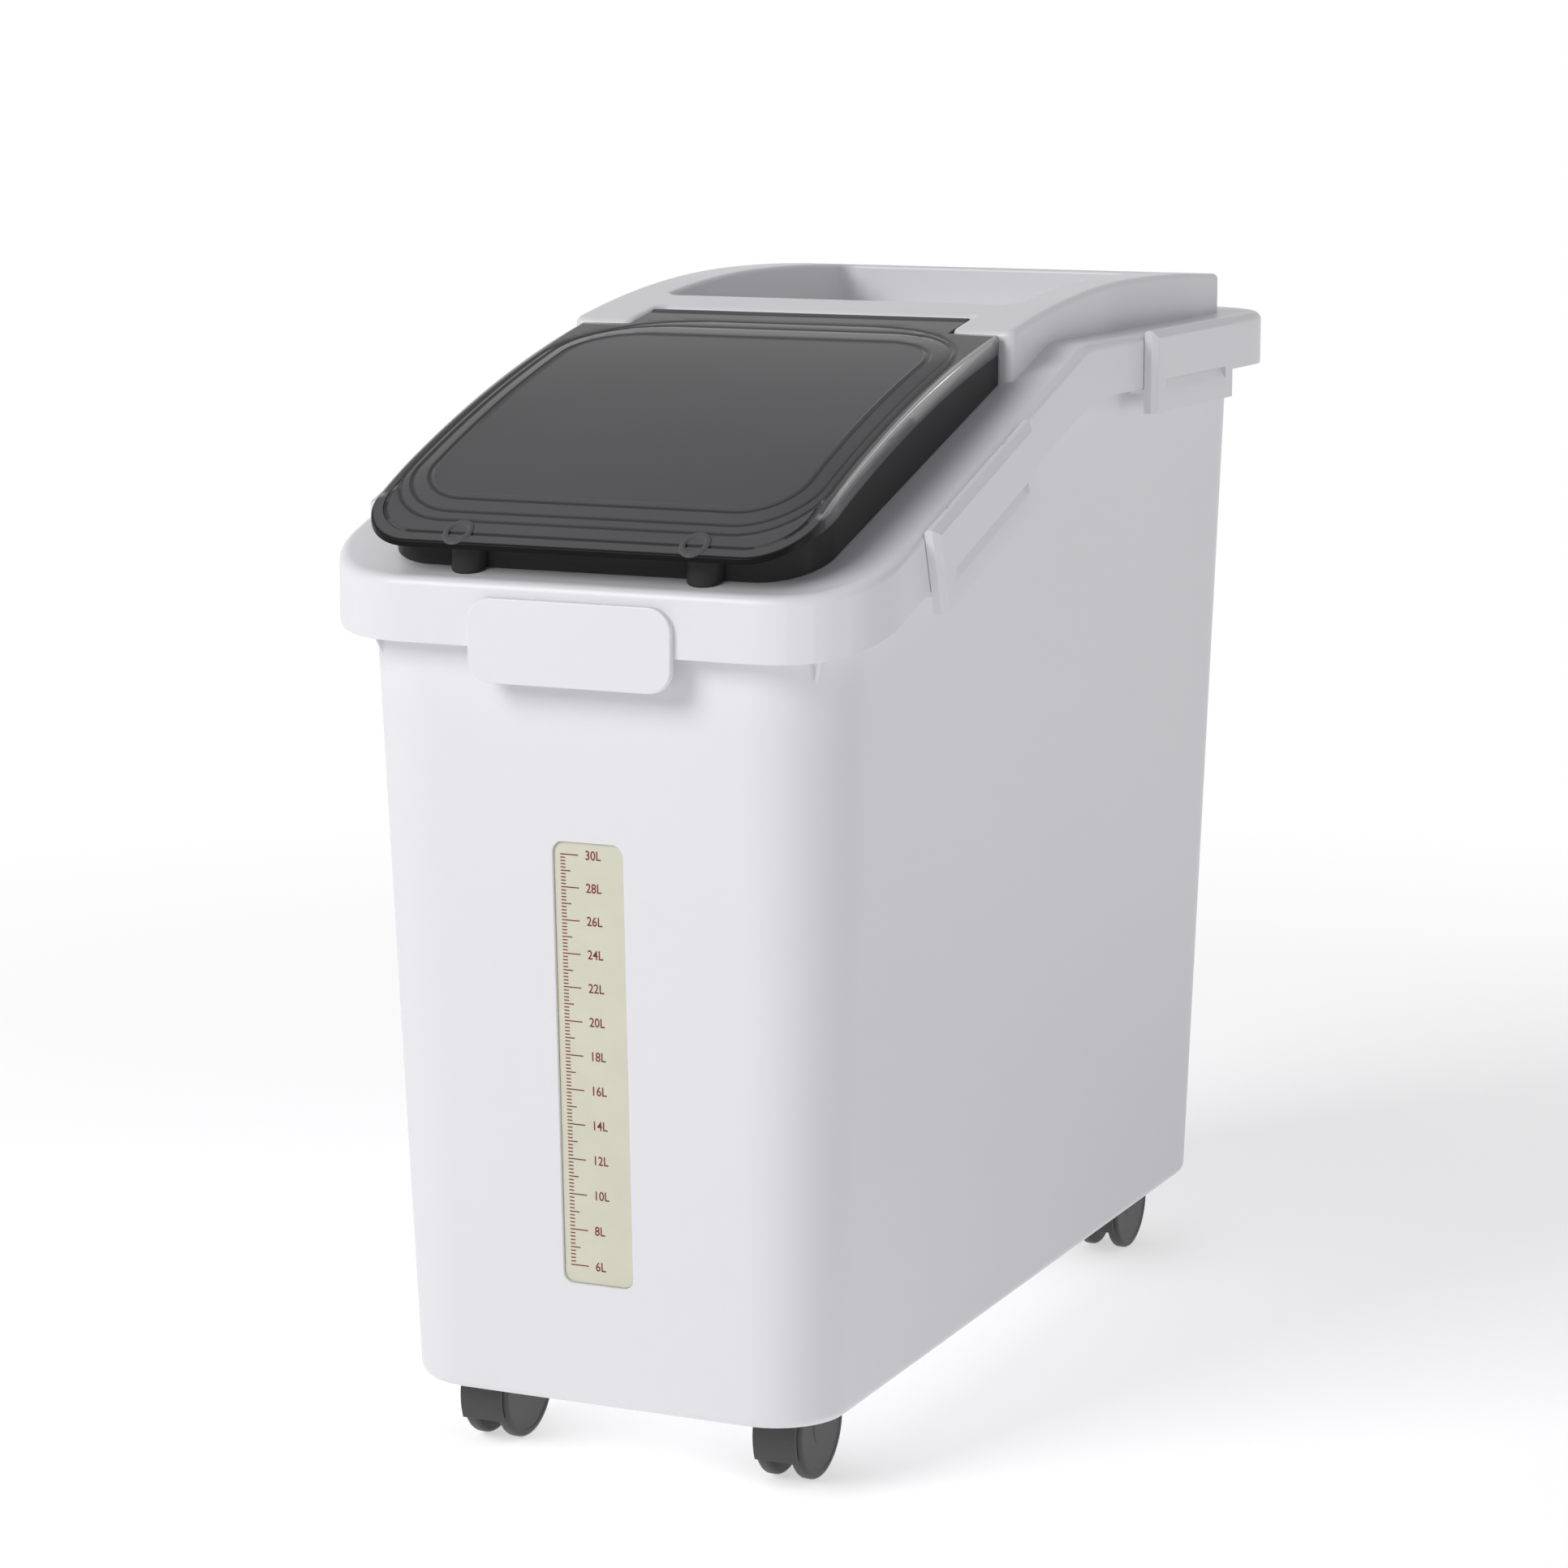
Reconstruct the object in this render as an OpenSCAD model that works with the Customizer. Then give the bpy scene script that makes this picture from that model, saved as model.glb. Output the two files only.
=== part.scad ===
// Ingredient bin on twin-wheel casters. A tapered tub carries a sloped cover with a flip lid,
// a tray behind the lid and four clip latches that hook under the tub's rim flange.
// Millimetres, +Z up. The front faces -Y and the origin is on the floor under the middle.

/* [Tub] */
// Height of the tub's bottom edge above the floor
base_z = 36.5; // [34:0.5:42]
// Width over the bottom edge
base_w = 213; // [195:1:235]
// Depth over the bottom edge
base_d = 535.2; // [480:0.2:600]
// Plan corner radius at the bottom edge
base_r = 35; // [20:1:50]
// Plan corner radius at the top of the tub
rim_r = 44; // [30:1:55]
// Outward lean of the side walls in degrees
side_draft = 2.05; // [1:0.05:3]
// Outward lean of the front wall in degrees
front_draft = 2.59; // [1:0.01:3]
// Outward lean of the rear wall in degrees
rear_draft = 0.86; // [0.5:0.01:2]
// Rounding of the tub's bottom edge
foot_r = 5; // [3:0.5:8]
// Thickness of the tub's walls
tub_wall = 2.8; // [2:0.1:4]
// Thickness of the tub's floor
floor_t = 2.8; // [2:0.1:4]
// Depth of the hollow under the floor
floor_rise = 7; // [4:0.5:12]
// Thickness of the rim flange
flange_t = 3; // [2:0.1:4]
// Gap between the rim flange and the cover's skirt
flange_gap = 0.6; // [0.3:0.1:1.2]
// Gap between the rim's top edge and the underside of the cover
rim_gap = 0.2; // [0.1:0.05:0.4]
// Reach of the corner gussets below the rim flange
gusset_h = 9; // [5:0.5:14]
// Thickness of the corner gussets
gusset_t = 2; // [1.5:0.1:3]

/* [Sight strip] */
// Width of the strip
strip_w = 34.4; // [24:0.1:44]
// Height of the strip's lower end above the floor
strip_z = 95; // [85:1:120]
// Length of the strip
strip_h = 205; // [150:1:230]
// Corner radius of the strip
strip_r = 5; // [2:0.5:9]
// Depth of the strip's face behind the front wall
strip_sink = 0.9; // [0.5:0.1:1.3]
// Width of the strip's inner lip
strip_lip = 4; // [2:0.5:6]
// Thickness of the strip's inner lip
strip_lip_t = 1.4; // [1:0.1:2.5]
// Gap between the strip and its window
strip_gap = 0.1; // [0.05:0.05:0.3]

/* [Cover] */
// Height of the cover's front edge above the floor
front_z = 416.5; // [390:0.5:440]
// Height of the cover's rear deck above the floor
rear_z = 507.5; // [480:0.5:530]
// Length of the cover's sloped part, seen from above
slope_run = 275; // [250:1:300]
// Level land at the front of the cover
front_land = 7.5; // [4:0.5:20]
// Reach of the cover past the tub's side walls
side_reach = 13.2; // [11:0.1:18]
// Reach of the cover past the tub's front wall
front_reach = 11; // [9:0.1:18]
// Reach of the cover past the tub's rear wall
rear_reach = 23.2; // [14:0.1:30]
// Plan corner radius of the cover
cover_r = 50; // [40:1:60]
// Thickness of the cover's walls
cover_wall = 2.6; // [2:0.1:3.2]
// Height of the skirt at the front
front_skirt = 29.5; // [24:0.5:36]
// Height of the skirt at the rear
rear_skirt = 27; // [24:0.5:36]
// Bend radius between the front land and the slope
land_bend_r = 70; // [30:5:90]
// Bend radius between the slope and the rear deck
deck_bend_r = 45; // [20:5:100]
// Bend radius of the skirt's lower edge at the rear
skirt_bend_r = 220; // [60:10:300]
// Width of the ledge between the lid's side and the mouth's collar
mouth_margin = 18; // [14:0.5:24]
// Height of the collar round the mouth
collar_h = 6; // [3:0.5:8]
// Plan corner radius of the mouth
mouth_r = 24; // [12:1:34]

/* [Tray] */
// Margin between the cover's side and the tray's side
tray_margin = 20.2; // [18:0.1:26]
// Distance of the tray's arms from the front of the cover
arm_in = 234.5; // [228:0.5:240]
// Distance of the tray's rear from the rear of the cover
tray_inset = 51.5; // [40:0.5:70]
// Width of the tray's hollow walls
tray_wall_w = 23; // [18:0.5:28]
// Depth of the ledge behind the lid
ledge_d = 29; // [22:0.5:40]
// Depth of the tray's floor below the rear deck
tray_sink = 5.5; // [2:0.5:14]
// Plan corner radius of the tray's recess
recess_r = 8; // [3:1:16]
// Distance of the crown's highest point from the front of the cover
crown_in = 409.5; // [395:0.5:425]
// Height of the crown above the rear deck
crown_rise = 24.5; // [22:0.5:28]
// Radius of the crown over the lid and the arms
crown_r = 950; // [900:5:1000]
// Radius of the crown behind its highest point
rear_crown_r = 2000; // [1500:10:3000]

/* [Lid] */
// Margin between the cover's side and the lid's side
lid_margin = 26.2; // [25:0.1:30]
// Distance of the lid's lip from the front of the cover
lid_inset = 5.5; // [3:0.5:12]
// Plan corner radius of the lid's lip
lid_r = 36; // [24:1:44]
// Thickness of the lid's sheet
lid_t = 3; // [2.5:0.1:3.5]
// Height of the turned-down edge below the sheet's top
lip_h = 7; // [5:0.5:9]
// Thickness of the lid's edge and skirt walls
lid_wall = 2.4; // [2:0.1:3]
// Set-back of the lid's skirt at the front
skirt_back = 12; // [8:0.5:15]
// Set-back of the lid's skirt at the front of its sides
skirt_pinch = 4.5; // [3:0.5:7]
// Gap between the lid's foot and the cover
lid_seat = 0.3; // [0.2:0.05:0.6]
// Gap between the lid's rear edge and the tray's arms
lid_gap = 3; // [2:0.5:5]
// Distance of the front posts from the middle
post_x = 58.5; // [40:0.5:70]
// Radius of the front posts
post_r = 8.7; // [6:0.1:10]
// Reach of the front posts past the lid's skirt
post_reach = 6.5; // [3:0.5:8]
// Height of the ridges on the lid
ridge_h = 0.9; // [0.5:0.1:1.5]
// Width of the ridges on the lid
ridge_w = 3.2; // [2:0.1:4.5]
// Spacing of the ridges on the lid
ridge_step = 8; // [6:0.5:10]
// Number of ridges on the lid
ridge_n = 3; // [1:1:4]
// Radius of the ring marks over the posts
ring_r = 7.7; // [6:0.1:8.5]
// Radius of the hollow in the ring marks
ring_hole = 4.3; // [3:0.1:5]

/* [Lid hinge] */
// Distance of the hinge axis behind the front end of the arms
hinge_in = 24; // [20:0.5:26]
// Radius of the hinge barrel
barrel_r = 4.5; // [4:0.1:5.5]
// Depth of the hinge barrel's top below the crown
barrel_sink = 0.3; // [0.1:0.05:0.6]
// Width of the hinge tongue
tongue_w = 166; // [140:1:172]
// Radius of the hinge rod
rod_r = 2; // [1.5:0.1:2.5]
// Reach of the hinge rod into the arms
rod_reach = 14; // [8:0.5:18]
// Gap between the tongue and the cover
tongue_gap = 0.4; // [0.3:0.05:0.8]

/* [Latches] */
// Length of a latch
latch_l = 124; // [100:1:130]
// Height of a latch
latch_h = 41; // [39:0.5:46]
// Thickness of a latch
latch_t = 6.5; // [6:0.1:7.5]
// Gap between a latch and the skirt
latch_gap = 0.3; // [0.2:0.05:0.5]
// Height of a latch's top above the cover's edge
latch_rise = 1.5; // [0.5:0.1:2]
// Distance of the front latches' middle from the front of the cover
front_latch_in = 132.5; // [125:0.5:145]
// Distance of the rear latches' middle from the rear of the cover
rear_latch_in = 168.5; // [148:0.5:188]
// Wall of a latch's face
latch_wall = 2.4; // [1.8:0.1:2.8]
// Length of the bevel at a latch's top and ends
bevel_l = 5; // [3:0.5:7]
// Depth of the bevel at a latch's top and ends
bevel_t = 1.2; // [0.8:0.1:1.4]
// Length of the finger groove
groove_l = 97; // [70:1:100]
// Width of the finger groove
groove_w = 5.5; // [4:0.1:7]
// Depth of the finger groove
groove_t = 1.6; // [1:0.1:2]
// Height of the groove's lower edge above the latch's foot
groove_foot = 8; // [6:0.5:9]
// Reach of a latch's hook behind the skirt
hook_reach = 7; // [5:0.5:8]
// Thickness of a latch's hook
hook_t = 2.6; // [2:0.1:3.5]
// Radius of a latch's pin
pin_r = 0.9; // [0.7:0.05:1]
// Radius of the lugs that carry a pin
lug_r = 1.9; // [1.7:0.05:2]
// Length of a lug
lug_l = 10; // [6:0.5:16]
// Distance of the lugs from the middle of a latch
lug_x = 36; // [26:1:44]
// Margin of a latch's barrel round its lugs
barrel_wall = 0.7; // [0.5:0.05:0.9]

/* [Front plate] */
// Width of the plate
plate_w = 99; // [80:1:120]
// Height of the plate
plate_h = 38; // [32:0.5:42]
// Thickness of the plate
plate_t = 3; // [2:0.1:4]
// Corner radius of the plate
plate_r = 11; // [6:0.5:15]
// Reach of the plate below the skirt
plate_drop = 15.5; // [10:0.5:18]
// Radius of the pegs that hold the plate
peg_r = 3; // [2:0.1:4]
// Distance of the pegs from the middle
peg_x = 30; // [20:1:38]

/* [Casters] */
// Radius of a wheel
wheel_r = 25; // [23:0.5:27]
// Width of a wheel
wheel_w = 9.2; // [7:0.1:9.6]
// Gap between the two wheels of a caster
wheel_gap = 5.6; // [4.6:0.1:7]
// Rounding of a wheel's edge
wheel_round = 2.2; // [1:0.1:3]
// Trail of the axle behind the swivel
trail = 3.5; // [2:0.1:4]
// Radius of an axle
axle_r = 2.5; // [2:0.1:3]
// Depth of the axle in a wheel
axle_hold = 6.5; // [4:0.1:6.8]
// Distance of the front swivels from the tub's bottom front edge
front_swivel = 48.6; // [44:0.2:70]
// Distance of the rear swivels from the tub's bottom rear edge
rear_swivel = 61; // [44:0.2:80]
// Gap round a caster as it swivels
well_gap = 0.4; // [0.3:0.05:1]
// Radius of a caster's stem
stem_r = 4; // [3:0.1:5]
// Length of a stem in its socket
stem_hold = 16; // [10:0.5:24]
// Wall of a stem's socket
socket_wall = 3; // [2:0.1:4]
// Radius of the collar on a stem
collar_r = 8; // [6:0.5:9]
// Thickness of the collar on a stem
collar_t = 2; // [1.5:0.1:3]
// Height of the hub on a caster's hood
hub_h = 5.5; // [4.5:0.1:7]
// Radius of the hub on a caster's hood
hub_r = 10; // [8:0.5:12]
// Thickness of the hood over the wheels
hood_t = 2; // [1.5:0.1:3]
// Gap between the hood and the wheels
hood_gap = 1; // [0.5:0.1:1.5]
// Width of the hood over the wheels
hood_w = 21; // [16:0.5:23]
// Height of the hood's front edge above the floor
hood_foot = 9; // [7:0.5:14]
// Slope of the hood's rear edge in degrees
hood_rear = 35; // [20:1:60]
// Radius of the boss round an axle
axle_boss_r = 8; // [5:0.5:12]

/* [Hidden] */
$fn = 64;
// Radial clearance of running pins
run_gap = 0.05;
// Side clearance of moving faces
side_gap = 0.3;
// Overshoot of cuts
over = 1;
// Extent of the long side profiles
far = 700;
// Thickness of the slices that a tapered block is drawn between
slice = 0.01;
// How far an eased corner's arc stands outside its sides
ease = 0.05;

// The four corners: name, side along X, end along Y
CORNERS = [["front_right", 1, -1], ["front_left", -1, -1], ["rear_right", 1, 1], ["rear_left", -1, 1]];

WHITE = "#f2f2f3";
STRIP = "#d6d4c0";
SMOKE = "#3c3c3e";
DARK = "#3a3a3a";
STEEL = "#b8babd";

// Tub outline at a height
function half_w(z) = base_w / 2 + (z - base_z) * tan(side_draft);
function front_y(z) = -base_d / 2 - (z - base_z) * tan(front_draft);
function rear_y(z) = base_d / 2 + (z - base_z) * tan(rear_draft);
function tub_r(z) = base_r + (rim_r - base_r) * (z - base_z) / (rear_z - base_z);
floor_z = base_z + floor_rise;

// Cover outline, from the tub where the skirt ends
skirt_front_z = front_z - front_skirt;
skirt_rear_z = rear_z - rear_skirt;
cover_x = half_w(skirt_rear_z) + side_reach;
cover_front = front_y(skirt_front_z) - front_reach;
cover_rear = rear_y(skirt_rear_z) + rear_reach;
knee_y = cover_front + front_land;
slope = atan((rear_z - front_z) / slope_run);
// Upright thickness of a sheet that lies along the slope
function upright(t) = t / cos(slope);

// Crown over the lid, the arms and the tray, placed to the whole millimetre
arm_y = round(cover_front + arm_in);
crown_y = round(cover_front + crown_in);
crown_top = rear_z + crown_rise;
function crown(y) = crown_top - crown_r + sqrt(pow(crown_r, 2) - pow(y - crown_y, 2));
tray_x = cover_x - tray_margin;
tray_rear = cover_rear - tray_inset;
tray_floor_z = rear_z - tray_sink;

// Lid and hinge
lid_x = cover_x - lid_margin;
lid_front = cover_front + lid_inset;
lid_rear = arm_y - lid_gap;
skirt_front = lid_front + skirt_back;
hinge_y = arm_y + hinge_in;
hinge_z = crown(hinge_y) - barrel_r - barrel_sink;
ledge_y = hinge_y + barrel_r + tongue_gap;
recess_front = ledge_y + ledge_d;
recess_x = tray_x - tray_wall_w;
recess_rear = tray_rear - tray_wall_w;

// Latches: distance of the pin from a latch's back and top, and the latch's faces from the pin
pin_in = lug_r + barrel_wall;
latch_x = cover_x + latch_gap;
latch_face = latch_t - pin_in;
latch_foot = pin_in - latch_h;
// Height of the cover's edge on the slope
function edge_z(y) = front_z + (y - knee_y) * tan(slope);
function latch_turn(end) = end < 0 ? slope : 0;
function latch_y(end) = end < 0 ? cover_front + front_latch_in : cover_rear - rear_latch_in;
function latch_z(end) = end < 0 ? edge_z(latch_y(end)) : rear_z;
// Lower edge of the skirt, square to it, from the pin
function skirt_drop(end) = pin_in - latch_rise - (end < 0 ? front_skirt * cos(slope) : rear_skirt);

// Casters
caster_w = 2 * wheel_w + wheel_gap;
web_t = wheel_gap - 2 * side_gap;
swing_r = norm([sqrt(pow(wheel_r, 2) - pow(base_z - wheel_r, 2)) + trail, caster_w / 2]);
well_r = swing_r + well_gap;
swivel_x = base_w / 2 - tub_wall - well_r;
function swivel_y(end) = end < 0 ? -base_d / 2 + front_swivel : base_d / 2 - rear_swivel;
hood_r = wheel_r + hood_gap + hood_t;
hub_z = wheel_r + wheel_r + hood_gap;
hub_top = hub_z + hub_h;
well_z = hub_top + side_gap + collar_t;
socket_z = well_z + stem_hold;

// Rectangle from one corner to the other with round corners
module rounded(low, high, r) {
    translate([low[0] + r, low[1]])
        square([high[0] - low[0] - 2 * r, high[1] - low[1]]);
    translate([low[0], low[1] + r])
        square([high[0] - low[0], high[1] - low[1] - 2 * r]);
    for (x = [low[0] + r, high[0] - r], y = [low[1] + r, high[1] - r])
        translate([x, y]) circle(r);
}

// Rounded rectangle whose corners meet its sides at a slight angle, so that the crown cuts it cleanly
module eased(low, high, r) {
    intersection() {
        translate(low) square(high - low);
        rounded(low - [ease, ease], high + [ease, ease], r);
    }
}

// Sweeps a side view, drawn as (Y, Z), across the whole width
module across(width = 2 * far) {
    translate([-width / 2, 0, 0]) rotate([90, 0, 90]) linear_extrude(width) children();
}

// Points of an arc from one angle to another
function arc(centre, r, from, to, steps = 8) =
    [for (i = [0:steps]) centre + r * [cos(from + (to - from) * i / steps), sin(from + (to - from) * i / steps)]];

// Side view of all that lies under a line: level, up the slope, level again
module under_line(low_end, high_end, high_r) {
    high_y = knee_y + (high_end - low_end) / tan(slope);
    bend = tan(slope / 2);
    polygon(concat(
        [[-far, -over], [-far, low_end]],
        arc([knee_y - land_bend_r * bend, low_end + land_bend_r], land_bend_r, -90, slope - 90),
        arc([high_y + high_r * bend, high_end - high_r], high_r, 90 + slope, 90),
        [[far, high_end], [far, -over]]));
}

// The cover's top face, lowered by a drop, and the skirt's lower edge, raised by a rise
module under_top(drop = 0) under_line(front_z - drop, rear_z - drop, deck_bend_r);
module under_skirt(rise = 0) under_line(skirt_front_z + rise, skirt_rear_z + rise, skirt_bend_r);

// Side view of all that lies under the crown, at a depth below it
module under_crown(depth = 0) {
    intersection() {
        translate([crown_y, crown_top - crown_r]) circle(crown_r - depth, $fn = 720);
        translate([-far, 0]) square([far + crown_y, far]);
    }
    intersection() {
        translate([crown_y, crown_top - rear_crown_r]) circle(rear_crown_r - depth, $fn = 1440);
        translate([crown_y, 0]) square([far, far]);
    }
}

// Slice of the tub at a height, with its edges moved in
module tub_slice(z, inset) {
    translate([0, 0, z]) linear_extrude(slice)
        rounded([-half_w(z) + inset, front_y(z) + inset], [half_w(z) - inset, rear_y(z) - inset],
            tub_r(z) - inset, $fn = 48);
}

// Tapered block of the tub between two heights, with its faces moved in
module tub_block(low, high, inset) {
    hull() for (z = [low, high]) tub_slice(z, inset);
}

// Outer block of the tub with its bottom edge rounded
module tub_outer() {
    hull() {
        for (a = [0:18:90]) tub_slice(base_z + foot_r * (1 - cos(a)), foot_r * (1 - sin(a)));
        tub_slice(rear_z, 0);
    }
}

// Plan of the cover with its edges moved in
module cover_plan(inset = 0) {
    rounded([-cover_x + inset, cover_front + inset], [cover_x - inset, cover_rear - inset], cover_r - inset);
}

// Places a child at the front wall's face, upright along the wall's lean
module on_front(z) {
    translate([0, front_y(z), z]) rotate([front_draft, 0, 0]) rotate([90, 0, 0]) children();
}

// Outline of the sight strip's window, grown by a margin
module strip_outline(grow) {
    rounded([-strip_w / 2 - grow, -grow], [strip_w / 2 + grow, strip_h + grow], strip_r + grow);
}

module tub() {
    color(WHITE) difference() {
        union() {
            intersection() {
                union() {
                    tub_shell();
                    caster_wells();
                }
                across() under_top(upright(cover_wall) + rim_gap);
            }
            rim_flange();
            for (c = CORNERS) gusset(c[1], c[2]);
        }
        for (c = CORNERS) caster_bore(c[1], c[2]);
        on_front(strip_z) translate([0, 0, -tub_wall - over])
            linear_extrude(tub_wall + 2 * over) strip_outline(strip_gap);
    }
}

module tub_shell() {
    difference() {
        tub_outer();
        tub_block(floor_z + floor_t, rear_z + over, tub_wall);
        tub_block(base_z - over, floor_z, tub_wall);
    }
}

// Raised caps over the casters with the sockets of their stems
module caster_wells() {
    intersection() {
        tub_block(base_z, rear_z, tub_wall / 2);
        for (c = CORNERS) translate([c[1] * swivel_x, swivel_y(c[2]), 0]) {
            translate([0, 0, floor_z]) cylinder(r = well_r + tub_wall, h = well_z + floor_t - floor_z);
            cylinder(r = stem_r + socket_wall, h = socket_z + socket_wall);
        }
    }
}

module caster_bore(side, end) {
    translate([side * swivel_x, swivel_y(end), 0]) {
        cylinder(r = well_r, h = well_z);
        cylinder(r = stem_r + run_gap, h = socket_z + side_gap);
    }
}

// Outward flange behind the skirt, level with the skirt's lower edge
module rim_flange() {
    difference() {
        intersection() {
            linear_extrude(far) cover_plan(cover_wall + flange_gap);
            across() difference() {
                under_skirt(flange_t);
                under_skirt();
            }
        }
        tub_block(base_z, rear_z, tub_wall / 2);
    }
}

// Three-cornered rib under the flange at a plan corner
module gusset(side, end) {
    z = end < 0 ? skirt_front_z : skirt_rear_z;
    y = end < 0 ? front_y(z) + tub_r(z) : rear_y(z) - tub_r(z);
    reach = min(front_reach, side_reach) - cover_wall - flange_gap;
    translate([side * (half_w(z) - tub_r(z)), y, z])
        rotate([0, 0, end < 0 ? (side > 0 ? -45 : -135) : (side > 0 ? 45 : 135)])
            rotate([90, 0, 0]) translate([tub_r(z), 0, -gusset_t / 2]) linear_extrude(gusset_t)
                polygon([[-tub_wall / 2, flange_t / 2], [reach / 2, flange_t / 2], [reach / 2, 0],
                    [0, -gusset_h], [-tub_wall / 2, -gusset_h]]);
}

module sight_strip() {
    color(STRIP) on_front(strip_z) {
        translate([0, 0, -tub_wall]) linear_extrude(tub_wall - strip_sink) strip_outline(0);
        translate([0, 0, -tub_wall - strip_lip_t]) linear_extrude(strip_lip_t) strip_outline(strip_lip);
    }
}

module cover() {
    color(WHITE) difference() {
        union() {
            cover_shell();
            mouth_collar();
            tray();
            for (c = CORNERS) latch_lugs(c[1], c[2]);
        }
        linear_extrude(far) mouth_plan(0);
        hinge_bore();
        for (x = [-peg_x, peg_x]) peg_place(x)
            cylinder(r = peg_r + run_gap, h = 2 * (cover_wall + over), center = true);
    }
}

// Skirt and sloped top sheet, open where the tray stands
module cover_shell() {
    difference() {
        intersection() {
            linear_extrude(far) cover_plan();
            across() difference() {
                under_top();
                under_skirt();
            }
        }
        intersection() {
            linear_extrude(far) cover_plan(cover_wall);
            across() under_top(upright(cover_wall));
        }
        linear_extrude(far) tray_plan(cover_wall);
    }
}

// Mouth under the lid, grown by a margin
module mouth_plan(grow) {
    rounded([-lid_x + mouth_margin - grow, skirt_front + mouth_margin - grow],
        [lid_x - mouth_margin + grow, lid_rear - mouth_margin + grow], mouth_r + grow);
}

module mouth_collar() {
    intersection() {
        linear_extrude(far) mouth_plan(cover_wall);
        across() difference() {
            under_top(-collar_h);
            under_top(upright(cover_wall));
        }
    }
}

// Outline of the tray and its arms with the bay for the hinge tongue, edges moved in
module tray_plan(inset) {
    bay = tongue_w / 2 + tongue_gap + inset;
    difference() {
        translate([-tray_x + inset, arm_y + inset])
            square([2 * (tray_x - inset), tray_rear - arm_y - 2 * inset]);
        translate([-bay, arm_y - over]) square([2 * bay, ledge_y + inset - arm_y + over]);
    }
}

// Block of the tray's recess, grown by a margin
module recess_block(grow) {
    translate([0, 0, tray_floor_z - grow]) linear_extrude(far)
        rounded([-recess_x - grow, recess_front - grow], [recess_x + grow, recess_rear + grow], recess_r + grow);
}

module tray() {
    difference() {
        intersection() {
            union() {
                recess_block(cover_wall);
                intersection() {
                    linear_extrude(far) tray_plan(0);
                    across() difference() {
                        translate([-far, 0]) square([2 * far, far]);
                        under_top(upright(cover_wall));
                    }
                }
            }
            across() under_crown();
        }
        difference() {
            intersection() {
                linear_extrude(far) tray_plan(cover_wall);
                across() under_crown(cover_wall);
            }
            recess_block(cover_wall);
            hinge_bosses();
        }
        recess_block(0);
        ledge_bevel();
    }
}

// Bevel that lets the lid lean back past upright
module ledge_bevel() {
    across(tongue_w + 2 * tongue_gap)
        polygon([[ledge_y - over, hinge_z], [ledge_y, hinge_z], [ledge_y + cover_wall, crown(ledge_y) + over / 2],
            [ledge_y - over, crown(ledge_y) + over / 2]]);
}

// Bosses in the arms that hold the hinge rod
module hinge_bosses() {
    for (side = [-1, 1])
        translate([side * (tongue_w / 2 + tongue_gap), hinge_y, hinge_z]) rotate([0, side * 90, 0])
            cylinder(r = barrel_r, h = rod_reach + cover_wall);
}

module hinge_bore() {
    translate([0, hinge_y, hinge_z]) rotate([0, 90, 0])
        cylinder(r = rod_r + run_gap, h = tongue_w + 2 * (tongue_gap + rod_reach), center = true);
}

module hinge_rod() {
    color(STEEL) translate([0, hinge_y, hinge_z]) rotate([0, 90, 0])
        cylinder(r = rod_r, h = tongue_w + 2 * (tongue_gap + rod_reach - side_gap), center = true);
}

// Place of a plate peg on the front of the skirt
module peg_place(x) {
    translate([x, cover_front, skirt_front_z + front_skirt / 2]) rotate([90, 0, 0]) children();
}

module front_plate() {
    color(WHITE) {
        translate([0, cover_front, skirt_front_z - plate_drop]) rotate([90, 0, 0]) linear_extrude(plate_t)
            rounded([-plate_w / 2, 0], [plate_w / 2, plate_h], plate_r);
        for (x = [-peg_x, peg_x]) peg_place(x) translate([0, 0, -cover_wall])
            cylinder(r = peg_r, h = cover_wall + plate_t / 2);
    }
}

// Plan of the lid's lip, edges moved in, with square rear corners
module lid_plan(inset) {
    eased([-lid_x + inset, lid_front + inset], [lid_x - inset, lid_rear + lid_r], lid_r - inset);
}

// Keeps what lies in front of the lid's rear edge
module before_rear() {
    intersection() {
        children();
        translate([-far, lid_front - over]) square([2 * far, lid_rear - lid_front + over]);
    }
}

// Plan of the lid's skirt, which narrows towards the front, with its walls moved in
module skirt_plan(inset) {
    r = lid_r - skirt_pinch;
    front_x = lid_x - skirt_pinch - inset;
    rear_x = lid_x - inset;
    front = skirt_front + inset;
    polygon(concat(
        arc([-front_x + r - inset, front + r - inset], r - inset, 180, 270, 12),
        arc([front_x - r + inset, front + r - inset], r - inset, 270, 360, 12),
        [[rear_x, lid_rear - inset], [-rear_x, lid_rear - inset]]));
}

// Closed ridge that follows the lid's edge
module ridge_plan(inset) {
    difference() {
        ridge_ring(inset);
        ridge_ring(inset + ridge_w);
    }
}

module ridge_ring(inset) {
    eased([-lid_x + inset, lid_front + inset], [lid_x - inset, lid_rear - inset], lid_r);
}

// Sheet between two depths below the crown
module crown_sheet(top, bottom) {
    across() difference() {
        under_crown(top);
        under_crown(bottom);
    }
}

module lid() {
    color(SMOKE) difference() {
        union() {
            lid_sheet();
            lid_skirt();
            lid_marks();
            translate([0, hinge_y, hinge_z]) rotate([0, 90, 0]) cylinder(r = barrel_r, h = tongue_w, center = true);
        }
        translate([0, hinge_y, hinge_z]) rotate([0, 90, 0])
            cylinder(r = rod_r + run_gap, h = tongue_w + 2 * over, center = true);
    }
}

// Crowned sheet with its tongue and the turned-down edge
module lid_sheet() {
    difference() {
        intersection() {
            linear_extrude(far) {
                before_rear() lid_plan(0);
                tongue_plan();
            }
            crown_sheet(0, lip_h);
        }
        intersection() {
            linear_extrude(far) {
                lid_plan(lid_wall);
                translate([-far, lid_rear - lid_wall]) square([2 * far, far]);
            }
            crown_sheet(lid_t, lip_h + over);
        }
    }
}

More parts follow.
